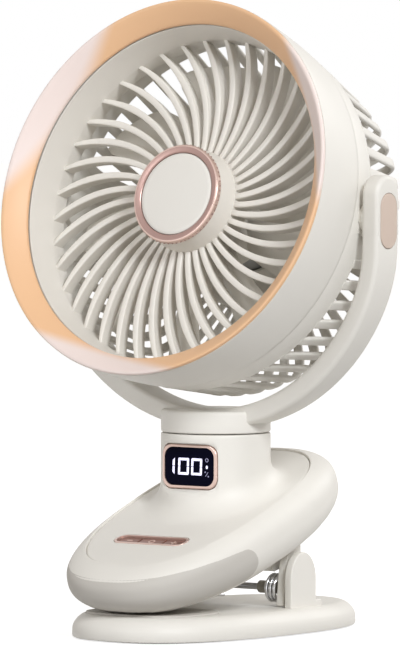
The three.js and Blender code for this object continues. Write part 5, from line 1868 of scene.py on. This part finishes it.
@dataclass(frozen=True)
class Lamp:
    """A round soft lamp that looks at the fan's middle. Its place and size are in metres."""

    name: str
    at: tuple[float, float, float]
    size: float
    watts: float
    colour: str
    aim: tuple[float, float, float] = (0.0, 0.0, 0.15)

    def hang(self) -> None:
        """Adds the lamp to the scene."""
        data = bpy.data.lights.new(self.name, "AREA")
        data.shape = "DISK"
        data.size = self.size
        data.energy = self.watts
        data.color = linear(self.colour)[:3]
        made = bpy.data.objects.new(self.name, data)
        bpy.context.scene.collection.objects.link(made)
        made.location = self.at
        made.rotation_mode = "QUATERNION"
        made.rotation_quaternion = (Vector(self.aim) - Vector(self.at)).to_track_quat("-Z", "Y")


@dataclass
class Studio:
    """Camera, floor and lamps. Lengths are in millimetres, but for those of the lamps."""

    azimuth: float = 36.14
    elevation: float = 2.76
    roll: float = 0.16
    distance: float = 3882.74
    focal_px: float = 8247.63
    image_width_px: int = 400
    aim: tuple[float, float] = (-7.56, 145.41)  # across, height
    sensor_mm: float = 36.0
    fill_colour: str = "#F4E6D6"
    fill_strength: float = 0.29
    floor_half: float = 6000.0
    floor_tone: tuple[float, float] = (0.5, 0.52)
    floor_lift: float = 0.8
    lamps: tuple[Lamp, ...] = (
        Lamp("key", (2.1, -1.2, 1.5), 0.8, 54, "#F8FBFF"),
        Lamp("front", (-0.6, -2.3, 0.9), 0.9, 15, "#F8FBFF"),
        Lamp("rim", (0.6, 1.8, 1.2), 1.2, 14, "#FFFFFF"),
    )

    def camera(self) -> None:
        """Sets the camera where the photograph was taken from."""
        a, e = math.radians(self.azimuth), math.radians(self.elevation)
        right = np.array([math.cos(a), math.sin(a), 0])
        back = np.array([math.sin(a) * math.cos(e), -math.cos(a) * math.cos(e), math.sin(e)])
        up = np.cross(back, right)
        roll = math.radians(self.roll)
        right, up = right * math.cos(roll) + up * math.sin(roll), up * math.cos(roll) - right * math.sin(roll)
        aim_x, aim_z = self.aim
        flat = np.array([math.cos(a), math.sin(a), 0])
        eye = (flat * aim_x + np.array([0, 0, aim_z]) + back * self.distance) * MM
        data = bpy.data.cameras.new("camera")
        data.sensor_fit = "HORIZONTAL"
        data.sensor_width = self.sensor_mm
        data.lens = self.focal_px / self.image_width_px * self.sensor_mm
        data.clip_end = 100
        made = bpy.data.objects.new("camera", data)
        bpy.context.scene.collection.objects.link(made)
        matrix = np.eye(4)
        matrix[:3, 0], matrix[:3, 1], matrix[:3, 2], matrix[:3, 3] = right, up, back, eye
        made.matrix_world = Matrix(matrix)
        bpy.context.scene.camera = made

    def world(self) -> None:
        """Even light all round, with pure white where the camera or a mirror looks past the fan."""
        world = bpy.data.worlds.new("studio")
        world.use_nodes = True
        tree = world.node_tree
        tree.nodes.clear()
        fill = add_node(tree, "ShaderNodeBackground",
                        {"Color": linear(self.fill_colour), "Strength": self.fill_strength})
        white = add_node(tree, "ShaderNodeBackground", {"Color": (1, 1, 1, 1), "Strength": 1.0})
        mix = add_node(tree, "ShaderNodeMixShader",
                       {0: backdrop_ray(tree), 1: fill.outputs[0], 2: white.outputs[0]})
        add_node(tree, "ShaderNodeOutputWorld", {"Surface": mix.outputs[0]})
        bpy.context.scene.world = world

    def floor(self) -> None:
        """A pale floor that fades into the white behind it but keeps the fan's shadow."""
        corners = [(x * self.floor_half, y * self.floor_half, -0.05)
                   for x, y in ((-1, -1), (1, -1), (1, 1), (-1, 1))]
        sheet = Shape(np.array(corners), [(0, 1, 2, 3)])
        made = object_of("studio_floor", sheet)
        material = bpy.data.materials.new("pale_floor")
        material.use_nodes = True
        tree = material.node_tree
        shader = tree.nodes["Principled BSDF"]
        place = add_node(tree, "ShaderNodeTexCoord").outputs["Object"]
        soft = add_node(tree, "ShaderNodeTexNoise", {"Vector": place, "Scale": per_metre(400)})
        low, high = self.floor_tone
        tone = add_node(tree, "ShaderNodeMapRange",
                        {"Value": soft.outputs["Fac"], "To Min": low, "To Max": high})
        shade = add_node(tree, "ShaderNodeCombineColor",
                         {0: tone.outputs["Result"], 1: tone.outputs["Result"], 2: tone.outputs["Result"]})
        tree.links.new(shade.outputs[0], shader.inputs["Base Color"])
        shader.inputs["Roughness"].default_value = 0.9
        lift = add_node(tree, "ShaderNodeMath", {0: backdrop_ray(tree), 1: self.floor_lift},
                        operation="MULTIPLY")
        shader.inputs["Emission Color"].default_value = (1, 1, 1, 1)
        tree.links.new(lift.outputs[0], shader.inputs["Emission Strength"])
        made.data.materials.append(material)

    def build(self) -> None:
        """Sets the whole studio up."""
        scene = bpy.context.scene
        scene.view_settings.view_transform = "Standard"
        self.camera()
        self.world()
        self.floor()
        for lamp in self.lamps:
            lamp.hang()


def main() -> None:
    """Builds the studio and the fan, and reports each piece."""
    logging.basicConfig(level=logging.INFO, format="%(message)s")
    Studio().build()
    for assembly in (LowerJaw(), ClampHinge(), BatteryBody(), Display(), KeyStrip(), Fork(), Drum(), Rotor()):
        log.info("building %s", type(assembly).__name__)
        assembly.build()
    for node, finish in INNER_NODES.items():
        dress_node(node, finish)


if __name__ == "__main__":
    main()
